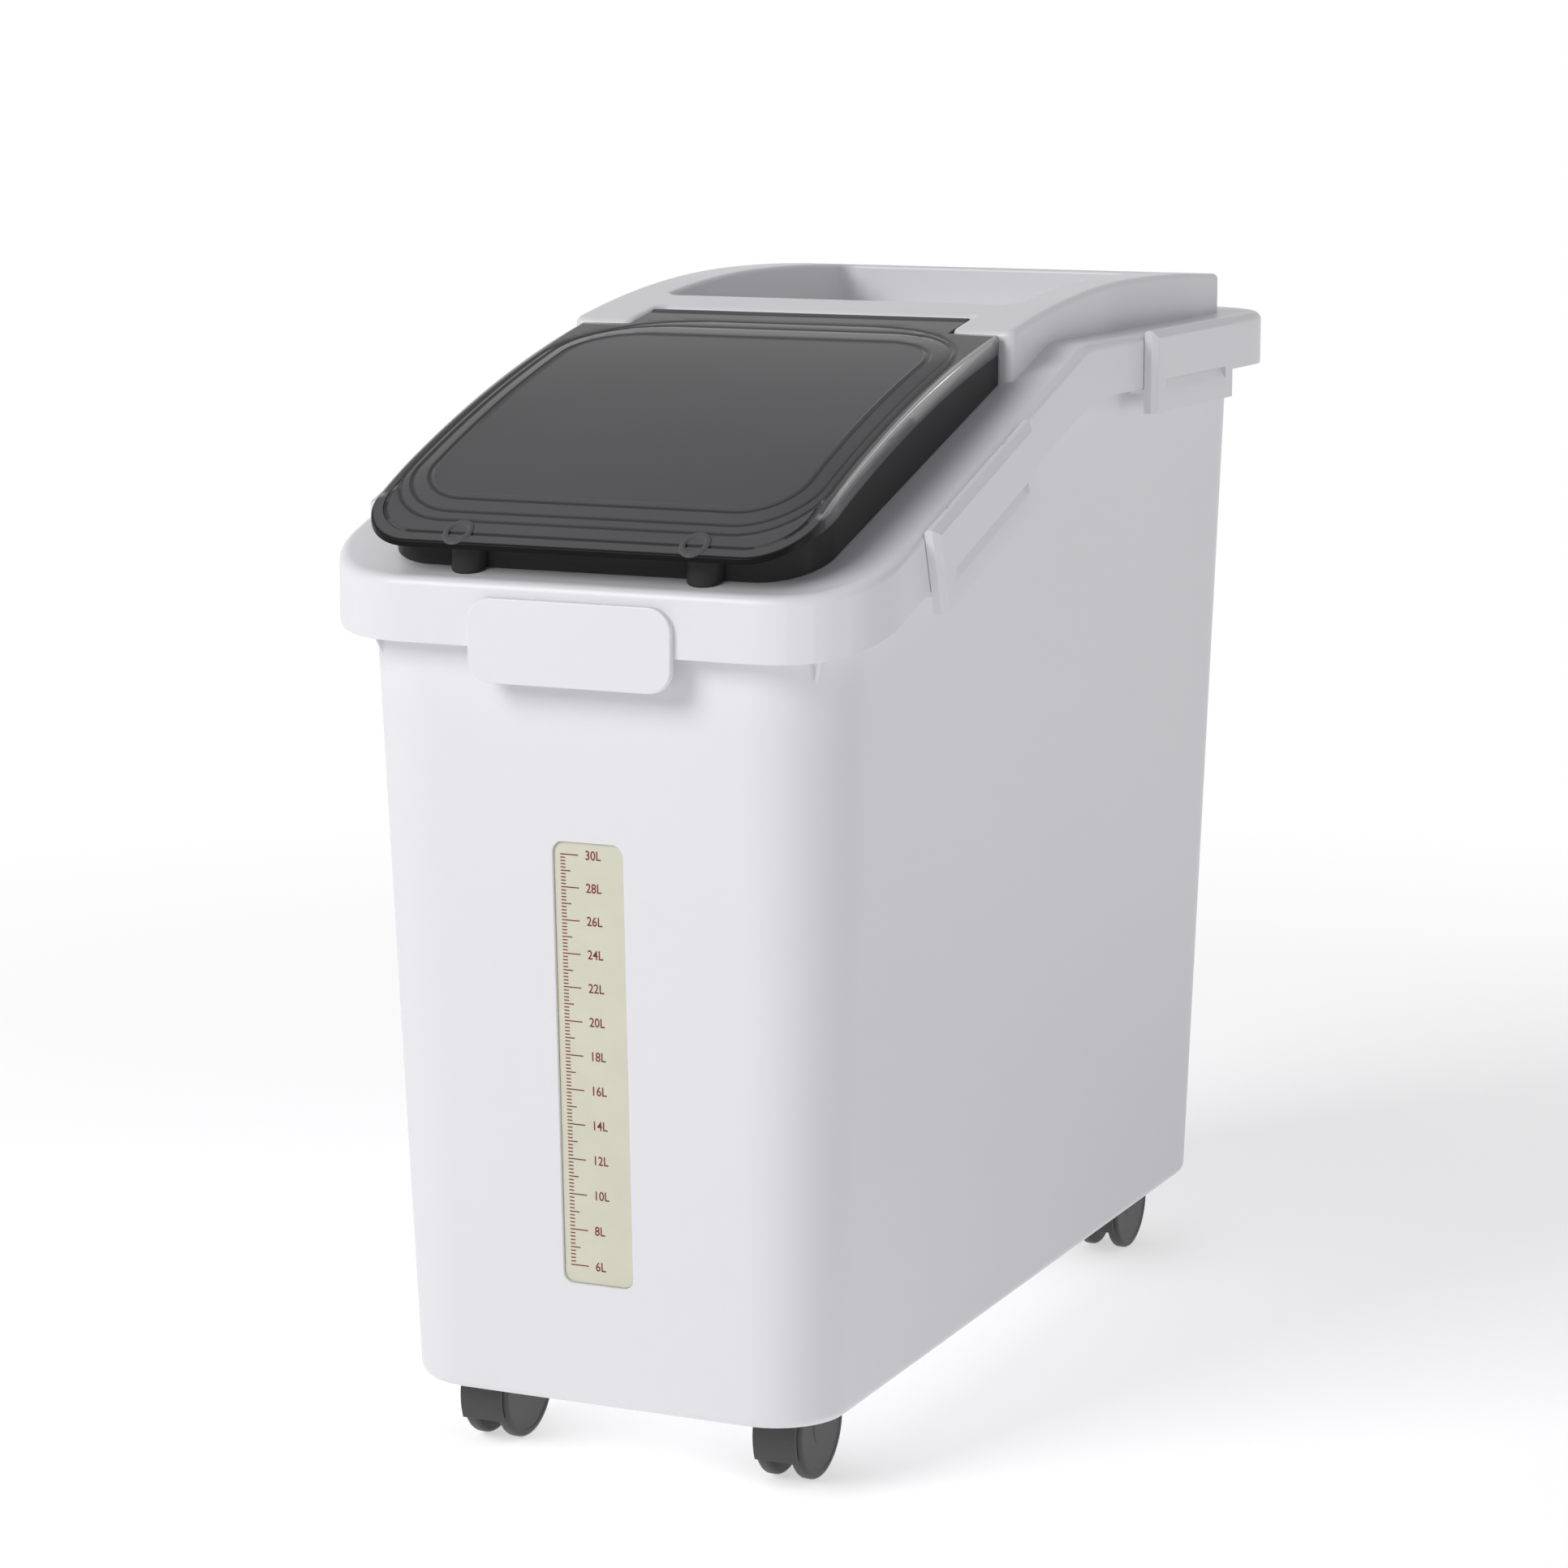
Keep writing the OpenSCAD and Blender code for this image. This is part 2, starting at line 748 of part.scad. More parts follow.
// Plan of the tongue that joins the sheet to the hinge barrel
module tongue_plan() {
    translate([-tongue_w / 2, lid_rear - over]) square([tongue_w, hinge_y - lid_rear + over]);
}

// Walls and posts that stand on the cover
module lid_skirt() {
    intersection() {
        linear_extrude(far) {
            difference() {
                skirt_plan(0);
                skirt_plan(lid_wall);
            }
            for (x = [-post_x, post_x])
                translate([x, skirt_front + post_r - post_reach]) circle(post_r);
        }
        across() difference() {
            under_crown(lid_t / 2);
            under_top(-lid_seat);
        }
    }
}

// Ridges round the sheet and rings over the posts
module lid_marks() {
    intersection() {
        linear_extrude(far) {
            for (i = [1:ridge_n]) ridge_plan(i * ridge_step);
            for (x = [-post_x, post_x]) translate([x, skirt_front + post_r - post_reach]) difference() {
                circle(ring_r);
                circle(ring_hole);
            }
        }
        crown_sheet(-ridge_h, lid_t / 4);
    }
}

// Mirrors its child to the left side
module on_side(side) {
    if (side > 0) children();
    else mirror([1, 0, 0]) children();
}

// Puts a child at a latch's pin: X along the pin, Y out of the skirt, Z up along the skirt
module at_latch(side, end) {
    on_side(side) translate([latch_x + pin_in, latch_y(end), latch_z(end)])
        rotate([latch_turn(end), 0, 0]) translate([0, 0, latch_rise - pin_in]) rotate([0, 0, -90]) children();
}

// Rod along the pin
module along_pin(r, length) {
    rotate([0, 90, 0]) cylinder(r = r, h = length, center = true);
}

// Section of a latch with its hook, as (out, up) from the pin
module latch_section(end) {
    difference() {
        polygon([[-pin_in, latch_foot], [latch_face, latch_foot], [latch_face, pin_in - bevel_l],
            [latch_face - bevel_t, pin_in], [-pin_in, pin_in]]);
        difference() {
            translate([-pin_in - over, 0]) square(pin_in + over);
            circle(pin_in);
        }
    }
    translate([-pin_in - hook_reach, skirt_drop(end) - side_gap - hook_t]) square([hook_reach + over, hook_t]);
}

// Plan of a latch with its bevelled ends
module latch_outline() {
    end_x = latch_l / 2;
    polygon([[-end_x, -latch_l], [-end_x, latch_face - bevel_t], [bevel_l - end_x, latch_face],
        [end_x - bevel_l, latch_face], [end_x, latch_face - bevel_t], [end_x, -latch_l]]);
}

// Hollow behind a latch's face, above the groove
module latch_pocket() {
    low = latch_foot + groove_foot + groove_w + latch_wall;
    translate([-latch_l / 2 + 2 * latch_wall, -pin_in - over, low])
        cube([latch_l - 4 * latch_wall, latch_t - latch_wall + over, -pin_in - latch_wall - low]);
}

// Room for a lug as the latch swings
module lug_notch(x) {
    room = lug_r + side_gap;
    translate([x - lug_l / 2 - side_gap, -pin_in - over, -room])
        cube([lug_l + 2 * side_gap, pin_in + over + room, room + pin_in + over]);
}

module latch(side, end) {
    color(WHITE) at_latch(side, end) difference() {
        intersection() {
            rotate([90, 0, 90]) linear_extrude(latch_l, center = true) latch_section(end);
            linear_extrude(2 * latch_h, center = true) latch_outline();
        }
        latch_pocket();
        translate([-groove_l / 2, latch_face - groove_t, latch_foot + groove_foot])
            cube([groove_l, groove_t + over, groove_w]);
        along_pin(pin_r + run_gap, latch_l + 2 * over);
        for (x = [-lug_x, lug_x]) lug_notch(x);
    }
}

module latch_pin(side, end) {
    color(STEEL) at_latch(side, end) along_pin(pin_r, latch_l - 2 * latch_wall);
}

// Lugs on the skirt that carry a latch's pin
module latch_lugs(side, end) {
    root = pin_in + latch_gap + cover_wall / 2;
    at_latch(side, end) for (x = [-lug_x, lug_x]) translate([x, 0, 0]) difference() {
        union() {
            along_pin(lug_r, lug_l);
            translate([-lug_l / 2, -root, -lug_r]) cube([lug_l, root, lug_r + pin_in - latch_rise]);
        }
        along_pin(pin_r + run_gap, lug_l + 2 * over);
    }
}

// Puts a child under a swivel
module at_caster(side, end) {
    translate([side * swivel_x, swivel_y(end), 0]) children();
}

// Rod along a caster's axle
module along_axle(r, length) {
    translate([0, trail, wheel_r]) rotate([0, 90, 0]) cylinder(r = r, h = length, center = true);
}

module stem() {
    color(STEEL) {
        translate([0, 0, hub_z + side_gap]) cylinder(r = stem_r, h = socket_z - hub_z - side_gap);
        translate([0, 0, well_z - collar_t]) cylinder(r = collar_r, h = collar_t);
    }
}

// Side view of the part of a caster that its hood covers, about the axle
module hood_sector() {
    translate([-far, hood_foot - wheel_r]) square([far, far]);
    polygon([[0, 0], [far, far * tan(hood_rear)], [far, far], [0, far]]);
}

module hood() {
    color(DARK) difference() {
        union() {
            translate([0, trail, wheel_r]) {
                across(hood_w) intersection() {
                    hood_sector();
                    difference() {
                        circle(hood_r);
                        circle(hood_r - hood_t);
                    }
                }
                across(web_t) intersection() {
                    hood_sector();
                    circle(hood_r - hood_t / 2);
                }
            }
            along_axle(axle_boss_r, web_t);
            difference() {
                translate([0, 0, wheel_r + hub_r]) cylinder(r = hub_r, h = hub_top - wheel_r - hub_r);
                along_axle(hood_r - hood_t, caster_w);
            }
        }
        along_axle(axle_r + run_gap, caster_w);
        translate([0, 0, hub_z]) cylinder(r = stem_r + run_gap, h = hub_h + over);
    }
}

module axle() {
    color(STEEL) along_axle(axle_r, wheel_gap + 2 * axle_hold);
}

// Wheel on the +X half of a caster, closed on its outer face
module wheel(out) {
    color(DARK) on_side(out) translate([wheel_gap / 2, trail, wheel_r]) rotate([0, 90, 0]) difference() {
        rotate_extrude($fn = 128) intersection() {
            rounded([-wheel_r, 0], [wheel_r, wheel_w], wheel_round);
            square([wheel_r, wheel_w]);
        }
        translate([0, 0, -over]) cylinder(r = axle_r + run_gap, h = axle_hold + side_gap + over);
    }
}

// Only what these lines name is drawn
tub();
sight_strip();
cover();
front_plate();
lid();
hinge_rod();
for (c = CORNERS) {
    latch(c[1], c[2]);
    latch_pin(c[1], c[2]);
    at_caster(c[1], c[2]) stem();
    at_caster(c[1], c[2]) hood();
    at_caster(c[1], c[2]) axle();
    at_caster(c[1], c[2]) wheel(c[1]);
    at_caster(c[1], c[2]) wheel(-c[1]);
}
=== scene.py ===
# %% [markdown]
# # Ingredient bin on casters
# A tapered white tub carries a sloped cover with a tray, a smoked flip lid, four clip latches and
# four twin-wheel casters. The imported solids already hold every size, place and hinge. This script
# models the pieces that show anew over them, with round edges, thin walls and fine detail. The steel
# wires stay as they are, and every surface gets its own plastic or metal.

# %% Load the solids
import math

import bmesh
import bpy
from mathutils import Matrix, Vector


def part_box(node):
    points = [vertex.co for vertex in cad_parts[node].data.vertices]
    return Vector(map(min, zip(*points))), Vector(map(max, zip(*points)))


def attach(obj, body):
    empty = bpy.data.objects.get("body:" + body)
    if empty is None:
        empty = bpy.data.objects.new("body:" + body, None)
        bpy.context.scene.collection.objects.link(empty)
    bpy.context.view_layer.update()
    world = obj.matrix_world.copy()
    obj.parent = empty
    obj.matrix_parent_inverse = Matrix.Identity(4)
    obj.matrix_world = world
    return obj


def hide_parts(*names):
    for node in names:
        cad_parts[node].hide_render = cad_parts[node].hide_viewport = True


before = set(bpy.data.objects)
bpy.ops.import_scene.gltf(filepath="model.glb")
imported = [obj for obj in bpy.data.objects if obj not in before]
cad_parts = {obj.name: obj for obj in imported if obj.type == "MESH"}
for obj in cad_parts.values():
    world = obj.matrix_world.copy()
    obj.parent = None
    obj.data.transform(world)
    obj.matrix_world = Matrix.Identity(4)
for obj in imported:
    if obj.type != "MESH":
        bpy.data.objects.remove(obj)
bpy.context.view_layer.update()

# %% [markdown]
# ## The camera
# The picture was taken from the front right, a little above the lid, with a long lens. The camera's
# place and turn were solved from known points of the bin, so the render can be laid over the picture.
# A camera looks down its own -Z, so it is tipped up by a right angle first and then turned.

# %% Camera
PICTURE = 1932
FOCAL_PIXELS = 5378.8
camera_data = bpy.data.cameras.new("camera")
camera_data.sensor_width = 36.0
camera_data.lens = FOCAL_PIXELS / PICTURE * camera_data.sensor_width
camera = bpy.data.objects.new("camera", camera_data)
bpy.context.scene.collection.objects.link(camera)
CAMERA_PLACE = (0.84695, -1.97924, 0.65395)
CAMERA_TURN, CAMERA_TIP, CAMERA_ROLL = 0.4164, -0.1707, 0.0026
turned = Matrix.Rotation(CAMERA_TURN, 4, "Z") @ Matrix.Rotation(math.pi / 2 + CAMERA_TIP, 4, "X")
camera.matrix_world = Matrix.Translation(CAMERA_PLACE) @ turned @ Matrix.Rotation(CAMERA_ROLL, 4, "Z")
camera_data.clip_end = 50
bpy.context.scene.camera = camera
bpy.context.scene.view_settings.view_transform = "Standard"
print("camera lens", round(camera_data.lens, 2), "mm")

# %% [markdown]
# ## Finishes as expressions
# Every finish is a small node tree. Wiring nodes one by one is long-winded, so one class wraps an
# output socket and turns arithmetic into Math nodes, and one method adds any other node. A finish is
# then written like a formula.


# %% Node helper
class Wire:
    """An output socket of a finish; sums and products of wires add Math nodes."""

    def __init__(self, finish, socket):
        self.finish, self.socket = finish, socket

    def math(self, operation, first, second):
        return self.finish.add("Math", {"operation": operation}, {0: first, 1: second})["Value"]

    def __add__(self, other):
        return self.math("ADD", self, other)

    def __radd__(self, other):
        return self.math("ADD", other, self)

    def __sub__(self, other):
        return self.math("SUBTRACT", self, other)

    def __rsub__(self, other):
        return self.math("SUBTRACT", other, self)

    def __mul__(self, other):
        return self.math("MULTIPLY", self, other)

    def __rmul__(self, other):
        return self.math("MULTIPLY", other, self)

    def most(self, other):
        return self.math("MAXIMUM", self, other)


class Finish:
    """A material or world whose nodes are added one at a time."""

    def __init__(self, owner):
        owner.use_nodes = True
        self.owner, self.tree = owner, owner.node_tree
        self.tree.nodes.clear()

    def add(self, kind, settings=None, inputs=None):
        """Add a node of a kind, set it up, then fill its sockets; returns its outputs as wires."""
        node = self.tree.nodes.new("ShaderNode" + kind)
        for name, value in (settings or {}).items():
            setattr(node, name, value)
        for name, value in (inputs or {}).items():
            if isinstance(value, Wire):
                self.tree.links.new(value.socket, node.inputs[name])
            else:
                node.inputs[name].default_value = value
        return {out.name: Wire(self, out) for out in node.outputs if out.enabled}

    def end(self, wire, kind="OutputMaterial"):
        """Lead the last wire to the output; returns the material or world."""
        node = self.tree.nodes.new("ShaderNode" + kind)
        self.tree.links.new(wire.socket, node.inputs["Surface"])
        return self.owner


def new_finish(name):
    return Finish(bpy.data.materials.new(name))


def grey(level):
    return (level, level, level, 1.0)


print("node helper ready")

# %% [markdown]
# ## Stage and light
# White plastic needs even light: a soft sky, a pale floor that throws light up, a large lamp at the
# front left, so that the front of the tub is brighter than its side, and a weak one low on the right.
# A narrow lamp behind the bin is left out of diffuse light, so it only draws a bright line along the
# lid's edge. Rays that come straight from the camera, or by a mirror or through clear plastic, see a
# white sky, and a floor that fades to white, so the background is white without more light on the bin.


# %% World
def seen_by(finish):
    """1 for rays from the camera, by a mirror or through clear plastic, and 0 for all other rays."""
    path = finish.add("LightPath")
    return path["Is Camera Ray"].most(path["Is Transmission Ray"]).most(path["Is Glossy Ray"])


sky = bpy.data.worlds.new("studio")
bpy.context.scene.world = sky
studio = Finish(sky)
SKY_LIGHT, SKY_COLOUR = 0.26, (0.94, 0.94, 1.0, 1.0)
room = studio.add("Background", None, {"Color": SKY_COLOUR, "Strength": SKY_LIGHT})
white = studio.add("Background", None, {"Color": grey(1.0), "Strength": 1.0})
backdrop = studio.add("MixShader", None, {
    0: seen_by(studio), 1: room["Background"], 2: white["Background"]})
studio.end(backdrop["Shader"], "OutputWorld")
print("sky light", SKY_LIGHT)


# %% Lamps
def soft_lamp(name, place, target, size, power):
    """A square area lamp that looks at a point."""
    lamp = bpy.data.lights.new(name, "AREA")
    lamp.size, lamp.energy = size, power
    holder = bpy.data.objects.new(name, lamp)
    bpy.context.scene.collection.objects.link(holder)
    holder.location = place
    holder.rotation_euler = (Vector(target) - Vector(place)).to_track_quat("-Z", "Y").to_euler()
    return holder


MIDDLE = (0.0, 0.0, 0.28)
soft_lamp("key_lamp", (-1.3, -2.6, 2.1), MIDDLE, size=1.6, power=61)
soft_lamp("side_lamp", (2.6, -0.6, 0.15), MIDDLE, size=1.0, power=8)
LID_EDGE = (0.1, -0.17, 0.49)
rim = soft_lamp("rim_lamp", (1.05, 1.55, 2.05), LID_EDGE, size=0.1, power=4)
rim.data.shape, rim.data.size_y = "RECTANGLE", 1.8
rim.visible_diffuse = False

# %% Floor
FLOOR_SIZE, SHADOW_REACH, WHITE_FROM = 30, 0.45, 1.6
PAPER, GLOW, BOUNCE = 0.82, 0.55, 0.42
bpy.ops.object.select_all(action="DESELECT")
bpy.ops.mesh.primitive_plane_add(size=FLOOR_SIZE)
floor = bpy.context.object
floor.name = "floor"
paper = new_finish("floor_paper")
matt = paper.add("BsdfDiffuse", None, {"Color": grey(PAPER)})
glow = paper.add("Emission", None, {"Color": grey(1.0), "Strength": GLOW})
lit = paper.add("AddShader", None, {0: matt["BSDF"], 1: glow["Emission"]})
white = paper.add("Emission", None, {"Color": grey(1.0), "Strength": 1.0})
away = paper.add("VectorMath", {"operation": "LENGTH"}, {0: paper.add("TexCoord")["Object"]})["Value"]
fade = paper.add("MapRange", {"interpolation_type": "SMOOTHSTEP"}, {
    "Value": away, "From Min": SHADOW_REACH, "From Max": WHITE_FROM})["Result"]
shown = paper.add("MixShader", None, {0: fade, 1: lit["Shader"], 2: white["Emission"]})
bounce = paper.add("Emission", None, {"Color": grey(1.0), "Strength": BOUNCE})
below = paper.add("AddShader", None, {0: matt["BSDF"], 1: bounce["Emission"]})
chosen = paper.add("MixShader", None, {0: seen_by(paper), 1: below["Shader"], 2: shown["Shader"]})
floor.data.materials.append(paper.end(chosen["Shader"]))
print("floor laid")

# %% [markdown]
# ## The modelling bench
# Operators act on whatever is selected, and the loaded solids are still selected, so every step
# starts by clearing the selection. Inside edit mode, corners, edges and faces are then picked by
# where they are, which keeps working when a size changes.


# %% Bench: selecting and editing
def take(piece):
    """Select one piece alone and make it active, in object mode."""
    if bpy.context.object and bpy.context.object.mode != "OBJECT":
        bpy.ops.object.mode_set(mode="OBJECT")
    bpy.ops.object.select_all(action="DESELECT")
    piece.select_set(True)
    bpy.context.view_layer.objects.active = piece


def fresh(add, **settings):
    """Add an object with an operator, with nothing else selected, and return it."""
    bpy.ops.object.select_all(action="DESELECT")
    add(**settings)
    return bpy.context.object


def copy_of(piece, name):
    """A copy of an object with a mesh of its own."""
    copy = bpy.data.objects.new(name, piece.data.copy())
    bpy.context.scene.collection.objects.link(copy)
    return copy


def edit(piece):
    """Open a piece for editing with nothing selected."""
    take(piece)
    bpy.ops.object.mode_set(mode="EDIT")
    bpy.ops.mesh.select_mode(type="FACE")
    bpy.ops.mesh.select_all(action="DESELECT")


def pick_all():
    bpy.ops.mesh.select_all(action="SELECT")


def pick(kind, test):
    """In edit mode, select the corners, edges or faces that pass a test; returns how many."""
    bpy.ops.mesh.select_mode(type=kind)
    bpy.ops.mesh.select_all(action="DESELECT")
    mesh = bpy.context.edit_object.data
    shape = bmesh.from_edit_mesh(mesh)
    items = {"VERT": shape.verts, "EDGE": shape.edges, "FACE": shape.faces}[kind]
    found = [item for item in items if test(item)]
    for item in found:
        item.select_set(True)
    shape.select_flush_mode()
    bmesh.update_edit_mesh(mesh)
    return len(found)


def done():
    bpy.ops.object.mode_set(mode="OBJECT")


def draw_edges(offset):
    """In edit mode, extrude the selected edges by an offset."""
    bpy.ops.mesh.extrude_edges_move(TRANSFORM_OT_translate={"value": offset})


def draw_faces(offset):
    """In edit mode, extrude the selected faces together by an offset."""
    bpy.ops.mesh.extrude_region_move(TRANSFORM_OT_translate={"value": offset})


def round_edges(width, steps):
    """In edit mode, bevel the selected edges."""
    bpy.ops.mesh.bevel(offset=width, segments=steps, affect="EDGES", clamp_overlap=False)


print("selecting and editing ready")

# %% Bench: modifiers and hand-over
MERGE, FLAT, FLAT_ON_SOLID = 2e-6, math.radians(1), math.radians(0.15)
SHARP, BLUNT, FAINT = 60, 40, 12  # creases in degrees


def modify(piece, kind, **settings):
    """Add a modifier, set it up and apply it."""
    take(piece)
    bpy.ops.object.modifier_add(type=kind)
    modifier = piece.modifiers[-1]
    for name, value in settings.items():
        setattr(modifier, name, value)
    bpy.ops.object.modifier_apply(modifier=modifier.name)


def smooth(piece, degrees=35):
    """Round shading over gentle edges, with flat faces kept flat beside narrow bevels."""
    take(piece)
    bpy.ops.object.shade_smooth_by_angle(angle=math.radians(degrees))
    modify(piece, "WEIGHTED_NORMAL", keep_sharp=True)


def copy_solid(node, name):
    """A copy of a solid's mesh with its loose triangles merged and its flat faces joined up."""
    piece = copy_of(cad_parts[node], name)
    edit(piece)
    pick_all()
    bpy.ops.mesh.remove_doubles(threshold=MERGE)
    bpy.ops.mesh.dissolve_limited(angle_limit=FLAT_ON_SOLID)
    done()
    return piece


def settle(piece, body, node, material):
    """Hand a finished piece to its body, its solid and its finish."""
    piece.data.materials.clear()
    piece.data.materials.append(material)
    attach(piece, body)
    if node:
        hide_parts(node)
    print(piece.name, len(piece.data.vertices), "corners,", len(piece.data.polygons), "faces")


def middle(edge):
    """The point halfway along an edge."""
    return (edge.verts[0].co + edge.verts[1].co) / 2


def crease(edge):
    """Angle in degrees between an edge's two faces."""
    return math.degrees(edge.calc_face_angle(0.0))


print("modifiers and hand-over ready")

# %% [markdown]
# ## White plastic
# The tub, the cover, the plate and the latches are one satin white. Real moulded plastic is never
# quite even: the mould leaves a fine grain, and the gloss drifts a little over a large wall. The grain
# is a small bump, and a slow noise moves the colour and the roughness by a few percent.


# %% Plastic finish
def noise(finish, place, scale, detail):
    """A noise from 0 to 1 over a place; scale is how many waves fit in a metre."""
    return finish.add("TexNoise", None, {"Vector": place, "Scale": scale, "Detail": detail})["Fac"]


def mixed(finish, share, first, second):
    """A colour between two colours; the numbered sockets are the colour ones of the Mix node."""
    return finish.add("Mix", {"data_type": "RGBA"}, {
        "Factor": share, 6: (*first, 1.0), 7: (*second, 1.0)})["Result"]


def plastic(name, colour, roughness, drift, grain_size, grain):
    """Moulded plastic: a base colour, slow drift in colour and gloss, and a fine grain."""
    finish = new_finish(name)
    place = finish.add("TexCoord")["Object"]
    cloud = noise(finish, place, 9.0, 3.0)
    fine = noise(finish, place, 1.0 / grain_size, 2.0)
    darker = [level * (1.0 - drift) for level in colour]
    bump = finish.add("Bump", None, {"Strength": grain, "Distance": 0.0004, "Height": fine})
    surface = finish.add("BsdfPrincipled", None, {
        "Base Color": mixed(finish, cloud, darker, colour),
        "Roughness": roughness + 0.12 * (cloud - 0.5) + 0.04 * fine, "Normal": bump["Normal"]})
    return finish.end(surface["BSDF"])


shell_white = plastic(
    "shell_white", (0.80, 0.797, 0.818), roughness=0.34, drift=0.03, grain_size=0.0011, grain=0.06)
print("finish:", shell_white.name)

# %% [markdown]
# ## Sizes that the pieces share
# The places of the pins, stems, hooks and wheels are read from their solids. What a box can't tell,
# such as the slope of the cover or the curve of the crown, is written here once, in metres, and each
# step adds its own lengths where it needs them. The curves are given as heights over the front-to-back
# line, because every piece on top of the bin is modelled flat first and then raised to one of them.

# %% Shared sizes
MM = 0.001
NEAR = 0.2 * MM
COVER_X, COVER_FRONT, COVER_REAR, COVER_R = 135.59 * MM, -294.46 * MM, 297.47 * MM, 50 * MM
COVER_T, FRONT_SKIRT, REAR_SKIRT = 2.6 * MM, 29.5 * MM, 27 * MM
FRONT_Z, REAR_Z, KNEE_Y, SLOPE_RUN = 416.5 * MM, 507.5 * MM, -286.96 * MM, 275 * MM
LAND_BEND_R, DECK_BEND_R, SKIRT_BEND_R = 70 * MM, 45 * MM, 220 * MM
CROWN_Y, CROWN_TOP, CROWN_R, REAR_CROWN_R = 115 * MM, 532 * MM, 950 * MM, 2000 * MM
SLOPE = math.atan((REAR_Z - FRONT_Z) / SLOPE_RUN)
LID_MIDDLE_Y = -170 * MM


def bend_height(run, radius):
    """Height of a bend between a level and the slope, from the level; run is measured from the knee."""
    reach = radius * math.tan(SLOPE / 2)
    if run <= -reach:
        return 0.0
    if run < reach:
        return radius - math.sqrt(radius ** 2 - (run + reach) ** 2)
    return run * math.tan(SLOPE)


def sloped_z(y, front, rear, rear_bend_r):
    """Height of a line that is level in front, climbs the slope and is level again behind."""
    top_y = KNEE_Y + (rear - front) / math.tan(SLOPE)
    if y < (KNEE_Y + top_y) / 2:
        return front + bend_height(y - KNEE_Y, LAND_BEND_R)
    return rear - bend_height(top_y - y, rear_bend_r)


def deck_z(y):
    """Height of the cover's deck."""
    return sloped_z(y, FRONT_Z, REAR_Z, DECK_BEND_R)


def skirt_z(y):
    """Height of the lower edge of the cover's skirt."""
    return sloped_z(y, FRONT_Z - FRONT_SKIRT, REAR_Z - REAR_SKIRT, SKIRT_BEND_R)


def crown_z(y):
    """Height of the crown that the lid and the tray share."""
    radius = CROWN_R if y < CROWN_Y else REAR_CROWN_R
    return CROWN_TOP - radius + math.sqrt(radius ** 2 - (y - CROWN_Y) ** 2)


print("deck and crown at the lid's middle:", [round(f(LID_MIDDLE_Y), 4) for f in (deck_z, crown_z)])

# %% [markdown]
# ## Flat first, curved later
# The cover, the tub, the lid, the plate and the sight strip start as flat sheets with round corners: a
# plane whose corners are bevelled. A sheet that has to follow a curve is cut into rows from front to
# back, and each corner is then raised by the height of the curve at its place. Cutting first is what
# keeps the curve smooth, because a long face can't bend.


# %% Sheet helpers: sheets and levels
ARC, LEVEL_NEAR = 14, 0.01 * MM


def rounded_sheet(name, low, high, z, front_r, rear_r):
    """A flat rectangle between two corners (X, Y), with round corners in front and behind."""
    piece = fresh(bpy.ops.mesh.primitive_plane_add, size=1)
    piece.name = name
    edit(piece)
    pick_all()
    centre = (low[1] + high[1]) / 2
    bpy.ops.transform.resize(value=(high[0] - low[0], high[1] - low[1], 1))
    bpy.ops.transform.translate(value=((low[0] + high[0]) / 2, centre, z))
    for radius, side in ((front_r, -1), (rear_r, 1)):
        if radius:
            pick("VERT", lambda v: (v.co.y - centre) * side > 0)
            bpy.ops.mesh.bevel(offset=radius, segments=ARC, affect="VERTICES")
    done()
    return piece


def join(name, pieces):
    """Make several pieces one object; loose parts stay loose parts of it."""
    take(pieces[0])
    for piece in pieces[1:]:
        piece.select_set(True)
    bpy.ops.object.join()
    pieces[0].name = name
    return pieces[0]


def cut_rows(piece, low, high, step):
    """Cut a piece into rows from front to back, so that it can follow a curve."""
    edit(piece)
    rows = round((high - low) / step)
    for i in range(rows + 1):
        pick_all()
        bpy.ops.mesh.bisect(plane_co=(0, low + (high - low) * i / rows, 0), plane_no=(0, 1, 0))
    done()


def lift(piece, height):
    """Raise every corner by a height that depends on its place."""
    for corner in piece.data.vertices:
        corner.co.z += height(corner.co)


def at_level(*levels):
    """A test for edges that lie at one of some heights."""
    return lambda e: any(all(abs(v.co.z - z) < LEVEL_NEAR for v in e.verts) for z in levels)


print("sheets and levels ready")


# %% Sheet helpers: sides and cuts
def turn_out(piece, test):
    """Make the faces agree, and turn them all round unless the largest one passes a test."""
    edit(piece)
    pick_all()
    bpy.ops.mesh.normals_make_consistent(inside=False)
    shape = bmesh.from_edit_mesh(piece.data)
    if not test(max(shape.faces, key=lambda f: f.calc_area())):
        bpy.ops.mesh.flip_normals()
    done()


def looks_away(point):
    """A test for faces that look away from a point."""
    return lambda f: f.normal.dot(f.calc_center_median() - point) > 0


def cut_away(piece, cutter, operation="DIFFERENCE"):
    """Take a cutter out of a piece, or add it to the piece, and throw the cutter away."""
    modify(piece, "BOOLEAN", object=cutter, operation=operation, solver="EXACT")
    bpy.data.objects.remove(cutter)


print("sides and cuts ready")

# %% [markdown]
# ## The cover
# The cover is one moulding: a sloped deck with a skirt, a collared mouth under the lid and a tray
# behind it. It could be a copy of its solid with bevelled edges, but a broad bevel folds over itself
# where the deck bends. So it is modelled flat, in storeys that are far apart: the skirt's foot, the
# deck, the tray's floor and the crown. All rounding is done while everything is flat and square, and
# only then is each storey moved to its own height. One thickness at the end makes it a shell.

# %% Cover: deck and skirt
FOOT, DECK, TRAY_FLOOR, CROWN = -1.0, 0.0, 0.5, 1.0
DECK_ROUND, DECK_BAND = 4.5 * MM, 7 * MM

